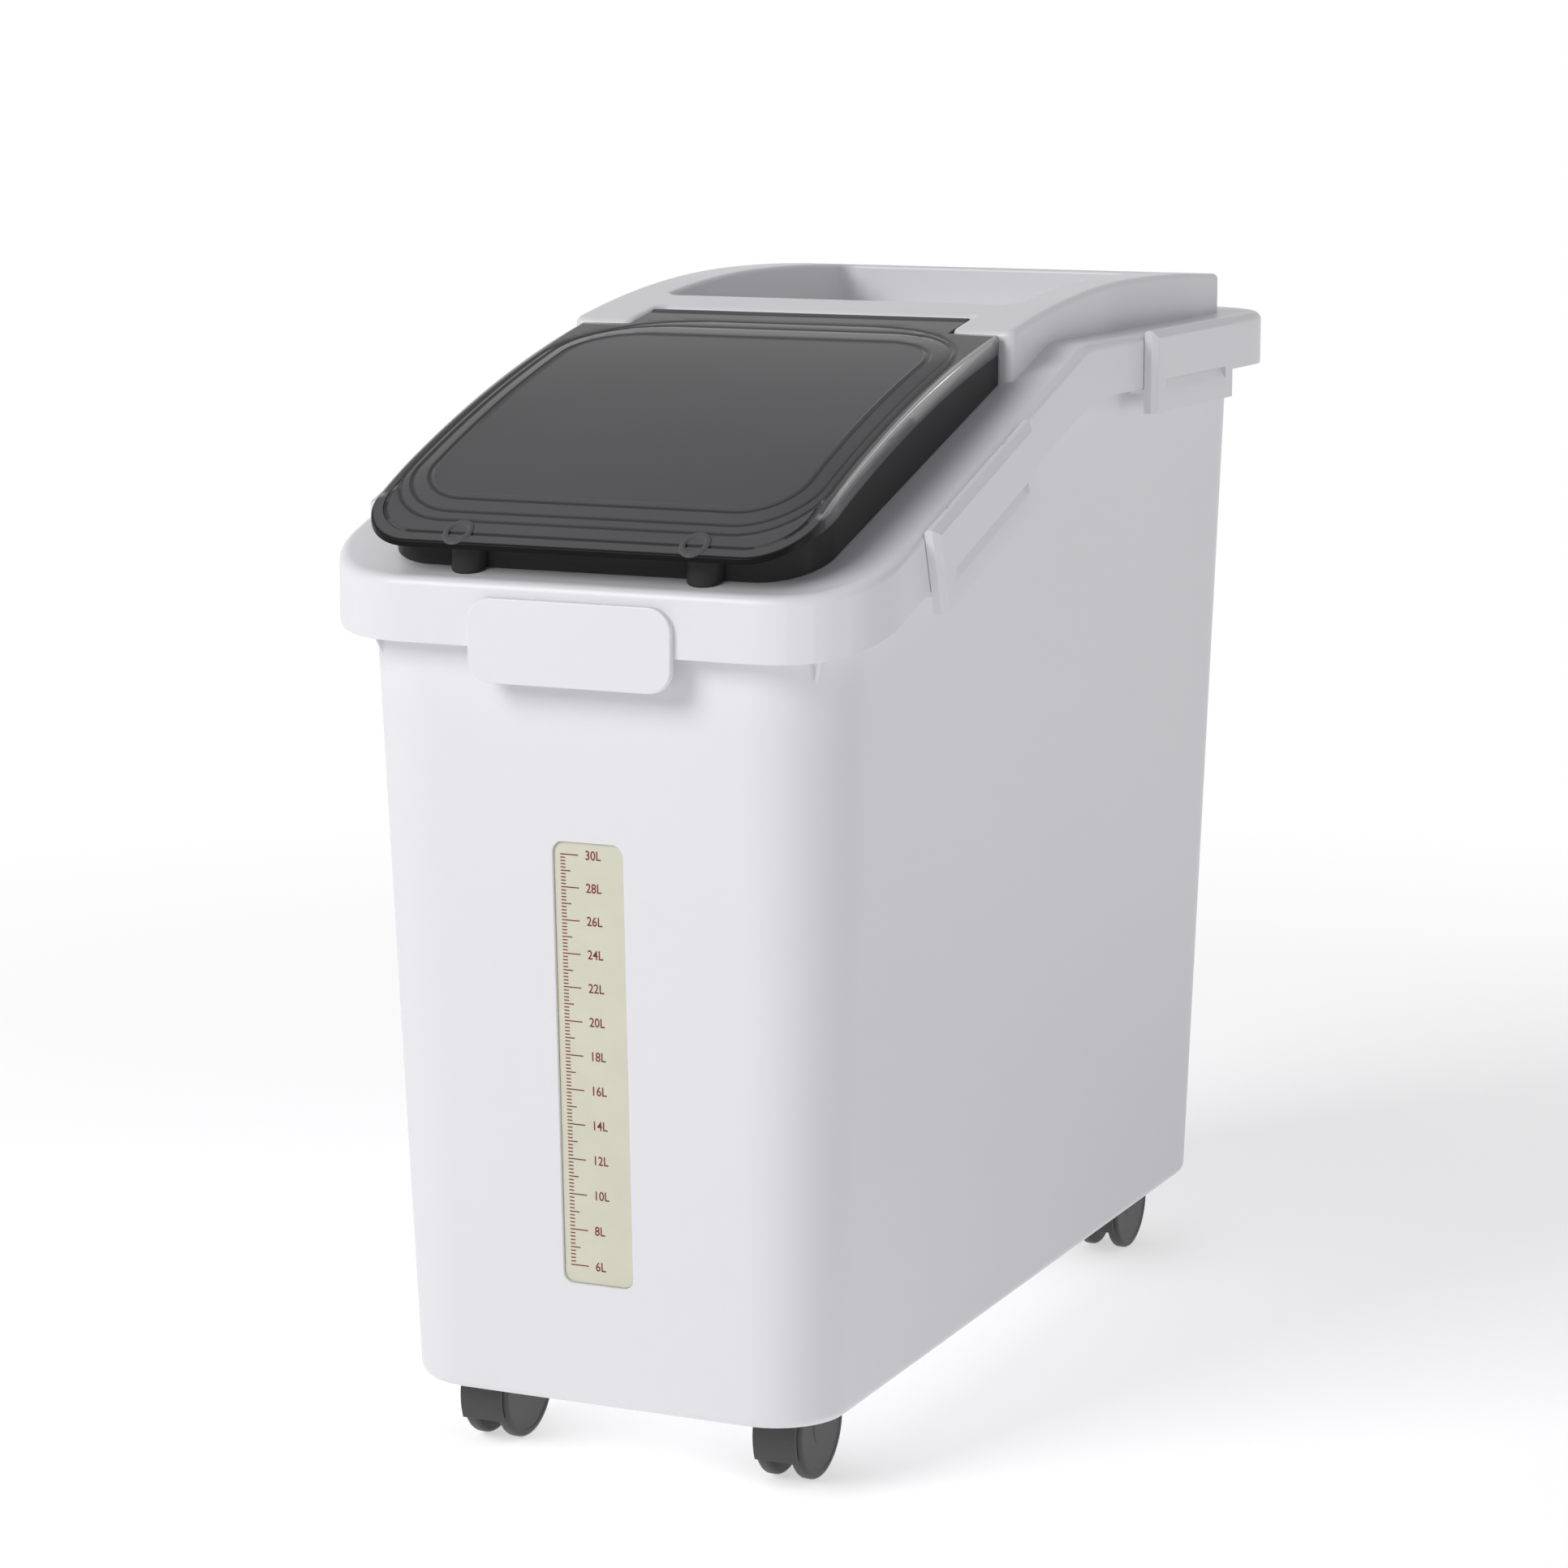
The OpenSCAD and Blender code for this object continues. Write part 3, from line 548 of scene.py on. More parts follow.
deck = rounded_sheet("deck", (-COVER_X, COVER_FRONT), (COVER_X, COVER_REAR), DECK, COVER_R, COVER_R)
edit(deck)
pick("EDGE", lambda e: e.is_boundary)
draw_edges((0, 0, FOOT))
pick("EDGE", at_level(DECK))
round_edges(DECK_ROUND, 6)
pick("FACE", lambda f: len(f.verts) > 4)
bpy.ops.mesh.inset(thickness=DECK_BAND)
bpy.ops.mesh.delete(type="ONLY_FACE")
done()
print("deck and skirt:", len(deck.data.polygons), "faces")

# %% Cover: collar round the mouth
MOUTH_X, MOUTH_FRONT, MOUTH_REAR, MOUTH_R = 91.39 * MM, -258.96 * MM, -81 * MM, 24 * MM
COLLAR_H, COLLAR_FOOT = 6 * MM, 3 * MM
WALL_BASE = DECK + 0.02 * MM


def mouth_sheet(grow, z):
    """Outline of the mouth, grown by a margin."""
    low, high = (-MOUTH_X - grow, MOUTH_FRONT - grow), (MOUTH_X + grow, MOUTH_REAR + grow)
    return rounded_sheet("mouth", low, high, z, MOUTH_R + grow, MOUTH_R + grow)


def bridge_levels(piece, *levels):
    """Join loops of bare edges, each at its own level, one after another."""
    edit(piece)
    for pair in zip(levels, levels[1:]):
        pick("EDGE", at_level(*pair))
        bpy.ops.mesh.bridge_edge_loops()
    done()


def only_edges(piece):
    """Leave nothing of a sheet but its outline."""
    edit(piece)
    pick_all()
    bpy.ops.mesh.delete(type="ONLY_FACE")
    done()


collar = join("collar", [mouth_sheet(COVER_T + COLLAR_FOOT, DECK), mouth_sheet(COVER_T, WALL_BASE),
                         mouth_sheet(COVER_T, DECK + COLLAR_H)])
only_edges(collar)
bridge_levels(collar, DECK, WALL_BASE, DECK + COLLAR_H)
print("collar:", len(collar.data.polygons), "faces")

# %% [markdown]
# The tray's outline has two arms that reach forward past the hinge, with a bay between them for the
# lid's tongue. Its upright corners are rounded first and the top edge after them, so that the rounding
# runs on round the corners. The back of the bay leans, to let the lid swing past upright.

# %% Cover: tray and hinge arms
TRAY_X, ARM_Y, TRAY_REAR = 115.39 * MM, -60 * MM, 245.97 * MM
BAY_X, LEDGE_Y, LEDGE_LEAN = 83.4 * MM, -31.1 * MM, 2.6 * MM
TRAY_FOOT, TRAY_CORNER, TRAY_ROUND, TRAY_BAND = 4 * MM, 5 * MM, 3 * MM, 1.5 * MM


def tray_sheet(grow, z, lean=0):
    """Outline of the tray with its two arms, grown by a margin, the back of the bay leaning back."""
    low, high = (-TRAY_X - grow, LEDGE_Y - grow + lean), (TRAY_X + grow, TRAY_REAR + grow)
    sheet = rounded_sheet("tray", low, high, z, 0, 0)
    edit(sheet)
    for side in (-1, 1):
        pick_all()
        bpy.ops.mesh.bisect(plane_co=(side * (BAY_X - grow), 0, 0), plane_no=(1, 0, 0))
    pick("EDGE", lambda e: abs(middle(e).x) > BAY_X and all(v.co.y < 0 for v in e.verts))
    draw_edges((0, ARM_Y - LEDGE_Y - lean, 0))
    pick_all()
    bpy.ops.mesh.dissolve_limited(angle_limit=FLAT)
    pick("VERT", lambda v: True)
    bpy.ops.mesh.bevel(offset=TRAY_CORNER, segments=5, affect="VERTICES")
    done()
    return sheet


tray_loops = [tray_sheet(TRAY_FOOT, DECK), tray_sheet(0, WALL_BASE), tray_sheet(0, CROWN, LEDGE_LEAN)]
tray = join("tray", tray_loops)
only_edges(tray)
bridge_levels(tray, DECK, WALL_BASE, CROWN)
edit(tray)
pick("EDGE", at_level(CROWN))
bpy.ops.mesh.edge_face_add()
pick_all()
bpy.ops.mesh.normals_make_consistent(inside=False)
pick("EDGE", at_level(CROWN))
round_edges(TRAY_ROUND, 5)
pick("FACE", lambda f: len(f.verts) > 8)
bpy.ops.mesh.inset(thickness=TRAY_BAND)
bpy.ops.mesh.delete(type="ONLY_FACE")
done()
print("tray:", len(tray.data.polygons), "faces")

# %% Cover: tray recess
RECESS_X, RECESS_FRONT, RECESS_REAR, RECESS_R = 92.39 * MM, -2.1 * MM, 222.97 * MM, 8 * MM
TRAY_FLOOR_Z, RECESS_BAND, RECESS_ROUND = 502 * MM, 3 * MM, 2.2 * MM
recess = rounded_sheet(
    "recess", (-RECESS_X - RECESS_BAND, RECESS_FRONT - RECESS_BAND),
    (RECESS_X + RECESS_BAND, RECESS_REAR + RECESS_BAND),
    CROWN, RECESS_R + RECESS_BAND, RECESS_R + RECESS_BAND)
edit(recess)
pick_all()
bpy.ops.mesh.inset(thickness=RECESS_BAND)
draw_faces((0, 0, TRAY_FLOOR - CROWN))
pick("EDGE", lambda e: at_level(CROWN, TRAY_FLOOR)(e) and crease(e) > SHARP)
round_edges(RECESS_ROUND, 4)
done()
tray = join("tray", [tray, recess])
edit(tray)
pick("EDGE", lambda e: e.is_boundary and at_level(CROWN)(e))
bpy.ops.mesh.fill(use_beauty=True)
done()
print("tray with recess:", len(tray.data.polygons), "faces")


# %% Cover: joined, raised and thickened
def storey_height(point):
    """How far a point's storey moves to its real height."""
    if point.z < (FOOT + DECK) / 2:
        return skirt_z(point.y) - FOOT
    if point.z < (DECK + TRAY_FLOOR) / 2:
        return deck_z(point.y) - DECK
    if point.z < (TRAY_FLOOR + CROWN) / 2:
        return TRAY_FLOOR_Z - TRAY_FLOOR
    return crown_z(point.y) - CROWN


cover = join("cover_shell", [deck, collar, tray])
edit(cover)
pick("EDGE", lambda e: e.is_boundary and at_level(DECK)(e))
bpy.ops.mesh.fill(use_beauty=True)
done()
turn_out(cover, looks_away(Vector((0, 0, FOOT / 2))))
BEND_STEP, CROWN_STEP, FRONT_BEND_END = 2.5 * MM, 8 * MM, KNEE_Y + 12 * MM
cut_rows(cover, COVER_FRONT + BEND_STEP, FRONT_BEND_END, BEND_STEP)
cut_rows(cover, ARM_Y + CROWN_STEP, RECESS_FRONT, 2 * BEND_STEP)
cut_rows(cover, RECESS_FRONT + CROWN_STEP, TRAY_REAR - CROWN_STEP, CROWN_STEP)
lift(cover, storey_height)
modify(cover, "SOLIDIFY", thickness=COVER_T, offset=-1, use_even_offset=True)
print("cover:", len(cover.data.polygons), "faces")

# %% [markdown]
# Each latch hangs on a wire pin between two lugs on the skirt. A lug is a short rod round the pin, with
# a low root that runs into the skirt. It is modelled once and copied to both sides of each pin's
# middle, which the pin's solid gives.

# %% Cover: latch lugs
LUG_L, LUG_R, LUG_SPREAD = 4.4 * MM, 1.5 * MM, 36 * MM
ROOT_REACH, ROOT_LOW, ROOT_HIGH = 4.2 * MM, -1.9 * MM, -0.95 * MM
CORNERS = ["front_right", "front_left", "rear_right", "rear_left"]


def block(low, high):
    """A box between two opposite corners."""
    low, high = Vector(low), Vector(high)
    box = fresh(bpy.ops.mesh.primitive_cube_add, size=1)
    box.data.transform(Matrix.Translation((low + high) / 2) @ Matrix.Diagonal((high - low).to_4d()))
    return box


def pin_rod(radius, length, along):
    """A rod along a latch's pin, with its middle a way along it."""
    rod = fresh(bpy.ops.mesh.primitive_cylinder_add, vertices=32, radius=radius, depth=length)
    rod.data.transform(Matrix.Translation((0, along, 0)) @ Matrix.Rotation(math.pi / 2, 4, "X"))
    return rod


def pin_place(corner):
    """The place of a latch's pin, with X out of the skirt, Y along the pin and Z up the skirt."""
    low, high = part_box("pin_" + corner)
    lean = Matrix.Rotation(SLOPE if "front" in corner else 0.0, 4, "X")
    facing = Matrix.Rotation(0.0 if "right" in corner else math.pi, 4, "Z")
    return Matrix.Translation((low + high) / 2) @ lean @ facing


lug = pin_rod(LUG_R, LUG_L, 0)
root = block((-ROOT_REACH, -LUG_L / 2, ROOT_LOW), (0, LUG_L / 2, ROOT_HIGH))
cut_away(lug, root, "UNION")
lugs = []
for corner in CORNERS:
    for along in (-LUG_SPREAD, LUG_SPREAD):
        lugs.append(copy_of(lug, "lug"))
        lugs[-1].data.transform(pin_place(corner) @ Matrix.Translation((0, along, 0)))
bpy.data.objects.remove(lug)
cover = join("cover_shell", [cover] + lugs)
smooth(cover)
settle(cover, "base", "cover", shell_white)

# %% [markdown]
# ## The tub
# The tub leans out a little on every side, its plan corners widen upwards and its foot is round. A
# block with that taper is a bridge between two rounded loops, and the tub is several such blocks cut
# out of one another: the hollow inside, the hollow under the floor, a well for each caster and the
# sight window.

# %% Tub: tapered blocks
TUB_FOOT, TUB_TOP, WALL, FOOT_R = 36.5 * MM, 504.5 * MM, 2.8 * MM, 5 * MM
BASE_X, BASE_Y, BASE_R, RIM_R = 106.5 * MM, 267.6 * MM, 35 * MM, 44 * MM
SIDE_LEAN, FRONT_LEAN, REAR_LEAN = math.radians(2.05), math.radians(2.59), math.radians(0.86)
FLOOR_LOW, FLOOR_HIGH, RIM_DROP = 43.5 * MM, 46.3 * MM, 3 * MM


def tub_plan(z):
    """Half width, front, rear and corner radius of the tub at a height."""
    up = z - TUB_FOOT
    return (BASE_X + up * math.tan(SIDE_LEAN), -BASE_Y - up * math.tan(FRONT_LEAN),
            BASE_Y + up * math.tan(REAR_LEAN), BASE_R + (RIM_R - BASE_R) * up / (REAR_Z - TUB_FOOT))


def tub_sheet(z, inset):
    """Outline of the tub at a height, moved in from its outer face."""
    x, front, rear, radius = tub_plan(z)
    return rounded_sheet("tub", (inset - x, front + inset), (x - inset, rear - inset), z,
                         radius - inset, radius - inset)


def tub_block(name, low, high, inset):
    """Closed tapered block of the tub between two heights."""
    form = join(name, [tub_sheet(low, inset), tub_sheet(high, inset)])
    only_edges(form)
    bridge_levels(form, low, high)
    edit(form)
    pick_all()
    bpy.ops.mesh.fill_holes(sides=0)
    done()
    turn_out(form, looks_away(Vector((0, 0, (low + high) / 2))))
    return form


def round_foot(form, z, radius):
    """Round the lowest edge of a tapered block."""
    edit(form)
    pick("EDGE", at_level(z))
    round_edges(radius, 6)
    done()


print("half width at the foot and the top:", [round(tub_plan(z)[0], 4) for z in (TUB_FOOT, TUB_TOP)])

# %% Tub: walls and floor
tub = tub_block("tub_shell", TUB_FOOT, TUB_TOP, 0)
edit(tub)
pick_all()
bpy.ops.mesh.bisect(
    plane_co=(0, KNEE_Y, FRONT_Z - RIM_DROP), plane_no=(0, -math.sin(SLOPE), math.cos(SLOPE)),
    use_fill=True, clear_outer=True)
done()
round_foot(tub, TUB_FOOT, FOOT_R)
inside = tub_block("inside", FLOOR_HIGH, TUB_TOP + FOOT_R, WALL)
round_foot(inside, FLOOR_HIGH, FOOT_R)
cut_away(tub, inside)
cut_away(tub, tub_block("under_floor", TUB_FOOT - FOOT_R, FLOOR_LOW, WALL))
print("tub walls and floor:", len(tub.data.polygons), "faces")

# %% Tub: caster wells
WELL_R, WELL_TOP, SOCKET_R, SOCKET_TOP = 28.76 * MM, 58.8 * MM, 7 * MM, 77.8 * MM
STEM_BORE_R, STEM_CAP = 4.05 * MM, 2.5 * MM


def upright_rod(radius, low, high, centre):
    """Upright cylinder between two heights."""
    return fresh(bpy.ops.mesh.primitive_cylinder_add, vertices=64, radius=radius, depth=high - low,
                 location=(centre.x, centre.y, (low + high) / 2))


for corner in CORNERS:
    low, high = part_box("stem_" + corner)
    swivel = (low + high) / 2
    cut_away(tub, upright_rod(WELL_R + WALL, FLOOR_LOW, WELL_TOP + WALL, swivel), "UNION")
    cut_away(tub, upright_rod(SOCKET_R, WELL_TOP - WALL, SOCKET_TOP, swivel), "UNION")
    cut_away(tub, upright_rod(WELL_R, TUB_FOOT - FOOT_R, WELL_TOP, swivel))
    cut_away(tub, upright_rod(STEM_BORE_R, TUB_FOOT, SOCKET_TOP - STEM_CAP, swivel))
print("wells cut:", len(tub.data.polygons), "faces")

# %% [markdown]
# The sight window goes through the front wall. The wall leans, so whatever sits on it is drawn flat,
# with X across, Y up and Z out of the wall, and one matrix stands it against the wall.

# %% Tub: sight window
STRIP_W, STRIP_H, STRIP_R, STRIP_Z = 34.4 * MM, 205 * MM, 5 * MM, 95 * MM
STRIP_GAP, WINDOW_SOFT = 0.1 * MM, 0.7 * MM
STAND_UP = Matrix.Rotation(math.pi / 2, 4, "X")
WALL_AT_STRIP = tub_plan(STRIP_Z)[1]
LEAN_BACK = Matrix.Rotation(FRONT_LEAN, 4, "X")
ON_FRONT = Matrix.Translation((0, WALL_AT_STRIP, STRIP_Z)) @ LEAN_BACK @ STAND_UP


def strip_sheet(grow, z):
    """Outline of the sight strip, grown by a margin, in the plane of the front wall."""
    low, high = (-STRIP_W / 2 - grow, -grow), (STRIP_W / 2 + grow, STRIP_H + grow)
    return rounded_sheet("strip", low, high, z, STRIP_R + grow, STRIP_R + grow)


window = strip_sheet(STRIP_GAP, -2 * WALL)
edit(window)
pick_all()
draw_faces((0, 0, 3 * WALL))
pick_all()
bpy.ops.mesh.normals_make_consistent(inside=False)
done()
window.data.transform(ON_FRONT)
cut_away(tub, window)
to_wall = ON_FRONT.inverted()


def at_window(edge):
    """An edge of the window on the outer face of the wall."""
    ends = [to_wall @ v.co for v in edge.verts]
    return all(abs(p.z) < NEAR / 2 and abs(p.x) < STRIP_W / 2 + NEAR and -NEAR < p.y < STRIP_H + NEAR
               for p in ends)


edit(tub)
count = pick("EDGE", lambda e: at_window(e) and crease(e) > SHARP)
round_edges(WINDOW_SOFT, 2)
done()
print("window:", count, "edges softened")

# %% [markdown]
# A flange runs round the tub behind the cover's skirt, level with the skirt's lower edge. The latches
# hook under it. At each plan corner a small three-cornered rib holds it up.

# %% Tub: rim flange
FLANGE_INSET, FLANGE_T = 3.2 * MM, 3 * MM
SKIRT_BEND_FROM, SKIRT_BEND_END = -45 * MM, 35 * MM
flange = rounded_sheet(
    "flange", (-COVER_X + FLANGE_INSET, COVER_FRONT + FLANGE_INSET),
    (COVER_X - FLANGE_INSET, COVER_REAR - FLANGE_INSET),
    0, COVER_R - FLANGE_INSET, COVER_R - FLANGE_INSET)
cut_rows(flange, COVER_FRONT + 2 * BEND_STEP, FRONT_BEND_END, BEND_STEP)
cut_rows(flange, SKIRT_BEND_FROM, SKIRT_BEND_END, 2 * BEND_STEP)
lift(flange, lambda p: skirt_z(p.y))
turn_out(flange, lambda f: f.normal.z > 0)
modify(flange, "SOLIDIFY", thickness=FLANGE_T, offset=1)
cut_away(flange, tub_block("core", TUB_FOOT, TUB_TOP + FOOT_R, WALL / 2))
print("flange:", len(flange.data.polygons), "faces")

# %% Tub: corner gussets
GUSSET_REACH, GUSSET_H, GUSSET_T, GUSSET_SOFT = 3.9 * MM, 9 * MM, 2 * MM, 0.3 * MM
gusset = fresh(bpy.ops.mesh.primitive_cube_add, size=1)
edit(gusset)
pick_all()
bpy.ops.transform.resize(value=(GUSSET_REACH + WALL / 2, GUSSET_T, GUSSET_H + FLANGE_T / 2))
bpy.ops.transform.translate(value=((GUSSET_REACH - WALL / 2) / 2, 0, (FLANGE_T / 2 - GUSSET_H) / 2))
bpy.ops.mesh.bisect(plane_co=(0, 0, 0), plane_no=(0, 0, 1))
pick("VERT", lambda v: v.co.x > NEAR and v.co.z < -NEAR)
bpy.ops.transform.translate(value=(-GUSSET_REACH, 0, 0))
pick("EDGE", lambda e: crease(e) > SHARP)
round_edges(GUSSET_SOFT, 2)
done()
ribs = []
for turn in (-45, -135, 45, 135):
    z = skirt_z(COVER_FRONT if turn < 0 else COVER_REAR)
    x, front, rear, radius = tub_plan(z)
    centre_x = math.copysign(x - radius, 90 - abs(turn))
    centre_y = front + radius if turn < 0 else rear - radius
    around = Matrix.Translation((centre_x, centre_y, z)) @ Matrix.Rotation(math.radians(turn), 4, "Z")
    ribs.append(copy_of(gusset, "rib"))
    ribs[-1].data.transform(around @ Matrix.Translation((radius, 0, 0)))
bpy.data.objects.remove(gusset)
tub = join("tub_shell", [tub, flange] + ribs)
smooth(tub)
settle(tub, "base", "tub", shell_white)

# %% [markdown]
# ## Smoked plastic
# The lid is smoked plastic, so dense that nothing shows through it. A clear shader would need a dark
# inside to look right, so this is an opaque dark grey with a faint polish, which fine wiping marks make
# uneven. The wall under the sheet is the same plastic, less polished and with a darker body, which is
# painted shade for the light that doesn't reach under the sheet. Painted shade also darkens the grooves
# and the turned-down edge at the nose: an attribute of the mesh mixes in a near-black body there. A
# second attribute puts a clear coat on the round edge along the sides, which catches the lamp behind.


# %% Smoked finish
def smoked(name, body, polish, haze, gloss):
    """Dark plastic whose polish is uneven from wiping, with painted shade where the mesh asks; gloss is
    the shader's specular level.
    """
    finish = new_finish(name)
    place = finish.add("TexCoord")["Object"]
    strokes = finish.add("Mapping", None, {
        "Vector": place, "Rotation": (0, 0, 0.7), "Scale": (14, 120, 30)})["Vector"]
    wipes = noise(finish, strokes, 1.0, 4.0)
    cloud = noise(finish, place, 7.0, 2.0)
    darker, paler = [body * 0.8] * 3, [body * 1.15, body * 1.15, body * 1.2]
    surface = finish.add("BsdfPrincipled", None, {
        "Base Color": mixed(finish, cloud, darker, paler),
        "Roughness": polish + haze * (wipes - 0.5) + haze * (cloud - 0.5),
        "IOR": 1.5, "Specular IOR Level": gloss, "Coat Roughness": 0.06, "Coat IOR": 2.4,
        "Coat Weight": finish.add("Attribute", {"attribute_name": "edge"})["Fac"]})
    # Painted shade: a near-black body that the depth attribute mixes in at the grooves and the nose.
    deep = finish.add("BsdfPrincipled", None, {
        "Base Color": grey(0.004), "Roughness": 0.3 + haze * (wipes - 0.5), "Specular IOR Level": 0.1})
    depth = finish.add("Attribute", {"attribute_name": "depth"})["Fac"]
    shown = finish.add("MixShader", None, {0: depth, 1: surface["BSDF"], 2: deep["BSDF"]})
    return finish.end(shown["Shader"])


smoke = smoked("smoke", body=0.115, polish=0.14, haze=0.06, gloss=0.03)
# The wall's copy has a darker body, painted shade for the light that doesn't reach under the sheet.
smoke_wall_painted_shade = smoked("smoke_wall_painted_shade", body=0.045, polish=0.24, haze=0.10, gloss=0.03)
print("finishes:", smoke.name, smoke_wall_painted_shade.name)

# %% [markdown]
# ## The lid
# The lid is a crowned sheet that dips at its nose, with a turned-down edge, grooves that follow its
# outline and a tongue behind that rolls round the hinge rod. The grooves crowd together at the sides,
# so insets of one face can't draw them. Each groove is four rounded loops, and neighbouring loops are
# bridged. The loops are kept apart by hair-thin storeys while the sheet is flat. The list of heights
# says how high each storey really is.

# %% Lid: outline and tongue
LID_X, LID_FRONT, LID_REAR, LID_R = 109 * MM, -296 * MM, -63 * MM, 28 * MM
TONGUE_X, HINGE_Y, HINGE_Z, BARREL_R = 83 * MM, -36 * MM, 515.1 * MM, 4.5 * MM
NOSE_Y, NOSE_RUN, NOSE_DROP = -240 * MM, 57 * MM, 5 * MM
STOREY, EDGE_BAND, ROW = 0.04 * MM, 1.6 * MM, 6 * MM


def lid_z(y):
    """Height of the lid's face: the crown, with a dip at the nose."""
    past = max(0.0, (NOSE_Y - y) / NOSE_RUN)
    return crown_z(y) - NOSE_DROP * past ** 2


lid = rounded_sheet("lid_sheet", (-LID_X, LID_FRONT), (LID_X, LID_REAR), 0, LID_R, 0)
edit(lid)
for x in (-TONGUE_X, TONGUE_X):
    pick_all()
    bpy.ops.mesh.bisect(plane_co=(x, 0, 0), plane_no=(1, 0, 0))
pick("EDGE", lambda e: all(v.co.y > LID_REAR - NEAR and abs(v.co.x) < TONGUE_X + NEAR for v in e.verts))
draw_edges((0, HINGE_Y - LID_REAR, 0))
pick_all()
bpy.ops.mesh.dissolve_limited(angle_limit=FLAT)
pick_all()
bpy.ops.mesh.inset(thickness=EDGE_BAND, depth=STOREY)
bpy.ops.mesh.delete(type="ONLY_FACE")
done()
print("lid outline:", len(lid.data.vertices), "corners")

# %% Lid: grooves
GROOVE = [(-1.3, 0.0), (-0.5, -0.6), (0.5, -0.6), (1.3, 0.0)]  # way in and height, in mm
RIDGE = [(2.2, 0.4), (3.4, 0.0)]
RIM_LEVEL, GROOVE_SHADE = -1.2, 0.6
RINGS = [  # half width, front, rear, front and rear corner radius, height of the sheet, section, in mm
    (104.2, -282.3, -54, 34, 62, RIM_LEVEL, GROOVE),
    (100.2, -277, -66, 32, 44, -0.9, GROOVE),
    (92.7, -269.5, -84, 26, 32, 0.0, GROOVE + RIDGE)]
# Each storey gets a share of painted shade: dark at a groove's bottom, none elsewhere.
heights, painted_groove_shades, loops = [RIM_LEVEL * MM, RIM_LEVEL * MM], [0.0, 0.0], [lid]
for half_x, front, rear, front_r, rear_r, level, section in RINGS:
    for run, up in section:
        loops.append(rounded_sheet(
            "ring", ((run - half_x) * MM, (front + run) * MM), ((half_x - run) * MM, (rear - run) * MM),
            STOREY * len(heights), (front_r - run) * MM, (rear_r - run) * MM))
        heights.append((level + up) * MM)
        painted_groove_shades.append(GROOVE_SHADE if up < 0 else 0.0)
lid = join("lid_sheet", loops)
levels = [STOREY * i for i in range(len(heights))]
edit(lid)
pick("FACE", lambda f: len(f.verts) > 4 and f.calc_center_median().z < levels[-1] - STOREY / 2)
bpy.ops.mesh.delete(type="ONLY_FACE")
for outer, inner in zip(levels[2:], levels[3:]):
    pick("EDGE", lambda e: at_level(outer, inner)(e) and (e.is_boundary or not e.link_faces))
    bpy.ops.mesh.bridge_edge_loops()
pick("EDGE", at_level(levels[1], levels[2]))
bpy.ops.mesh.fill(use_beauty=True)
done()
turn_out(lid, lambda f: f.normal.z > 0)
print("lid sheet:", len(lid.data.polygons), "faces in", len(levels), "storeys")

# %% [markdown]
# The edge turns down at the sides and thins out to the sheet's own thickness at the nose. It is drawn
# down by one depth all round, and the lift scales that depth by its place.

# %% Lid: shape of the lip
SHEET_T, EDGE_R = 2.4 * MM, 1.4 * MM
LIP_SIDE, LIP_NOSE, LIP_Y, LIP_RUN = 9 * MM, 2.6 * MM, -286 * MM, 34 * MM


def at_rim(edge):
    """An outer edge of the sheet in front or at the sides, where the lip turns down."""
    near, far = sorted(v.co.y for v in edge.verts)
    return at_level(0)(edge) and near < LID_REAR - NEAR and far < LID_REAR + NEAR


def lip_share(y):
    """How much of its full depth the lip has: none at the nose, all of it along the sides."""
    share = min(1.0, max(0.0, (y - LIP_Y) / LIP_RUN))
    return share * share * (3 - 2 * share)


def by_storey(values, z):
    """The value at a height of the flat sheet, between the values of two storeys."""
    place = min(z / STOREY, len(values) - 1.001)
    below = int(place)
    return values[below] + (values[below + 1] - values[below]) * (place - below)


def on_lid(point):
    """How far a point of the flat sheet moves up: its storey's height, or its share of the lip."""
    if point.z < 0:
        depth = LIP_NOSE + (LIP_SIDE - LIP_NOSE) * lip_share(point.y)
        return lid_z(point.y) + heights[0] + point.z * (depth / LIP_SIDE - 1)
    return lid_z(point.y) + by_storey(heights, point.z) - point.z


def paint(piece, name, value):
    """Write a value at each corner into an attribute that the finish reads."""
    values = piece.data.attributes.new(name, "FLOAT", "POINT").data
    for corner, item in zip(piece.data.vertices, values):
        item.value = value(corner.co)


def at_edge(p):
    """1 on the round edge along the lid's sides, which is polished, and 0 elsewhere."""
    return float(abs(p.x) > LID_X - EDGE_R - NEAR and p.z > -EDGE_R - NEAR and p.y > LID_FRONT + LID_R)


print("lip: full depth from", round(LIP_Y + LIP_RUN, 4), "backwards")

# %% Lid: turned-down edge
edit(lid)
pick("EDGE", lambda e: at_rim(e) and e.is_boundary)
draw_edges((0, 0, -LIP_SIDE))
count = pick("EDGE", lambda e: at_rim(e) and crease(e) > BLUNT)
round_edges(EDGE_R, 3)
done()
cut_rows(lid, LID_FRONT + ROW, HINGE_Y - ROW, ROW)
paint(lid, "edge", at_edge)
# Painted shade: depth darkens the grooves and the nose's turned-down edge, fading out along the sides.
paint(lid, "depth", lambda p: 1 - lip_share(p.y) if p.z < 0 else by_storey(painted_groove_shades, p.z))
lift(lid, on_lid)
modify(lid, "SOLIDIFY", thickness=SHEET_T, offset=-1, use_even_offset=True)
print("lid edge:", count, "edges rounded,", len(lid.data.polygons), "faces")

# %% [markdown]
# One more groove runs along the nose and ends at the sides. It isn't a closed ring, so it is cut: a
# bent wire is laid along the face and taken out of it, which leaves a round-bottomed groove. The
# eyelets above the two posts are flattened rings laid on the face.

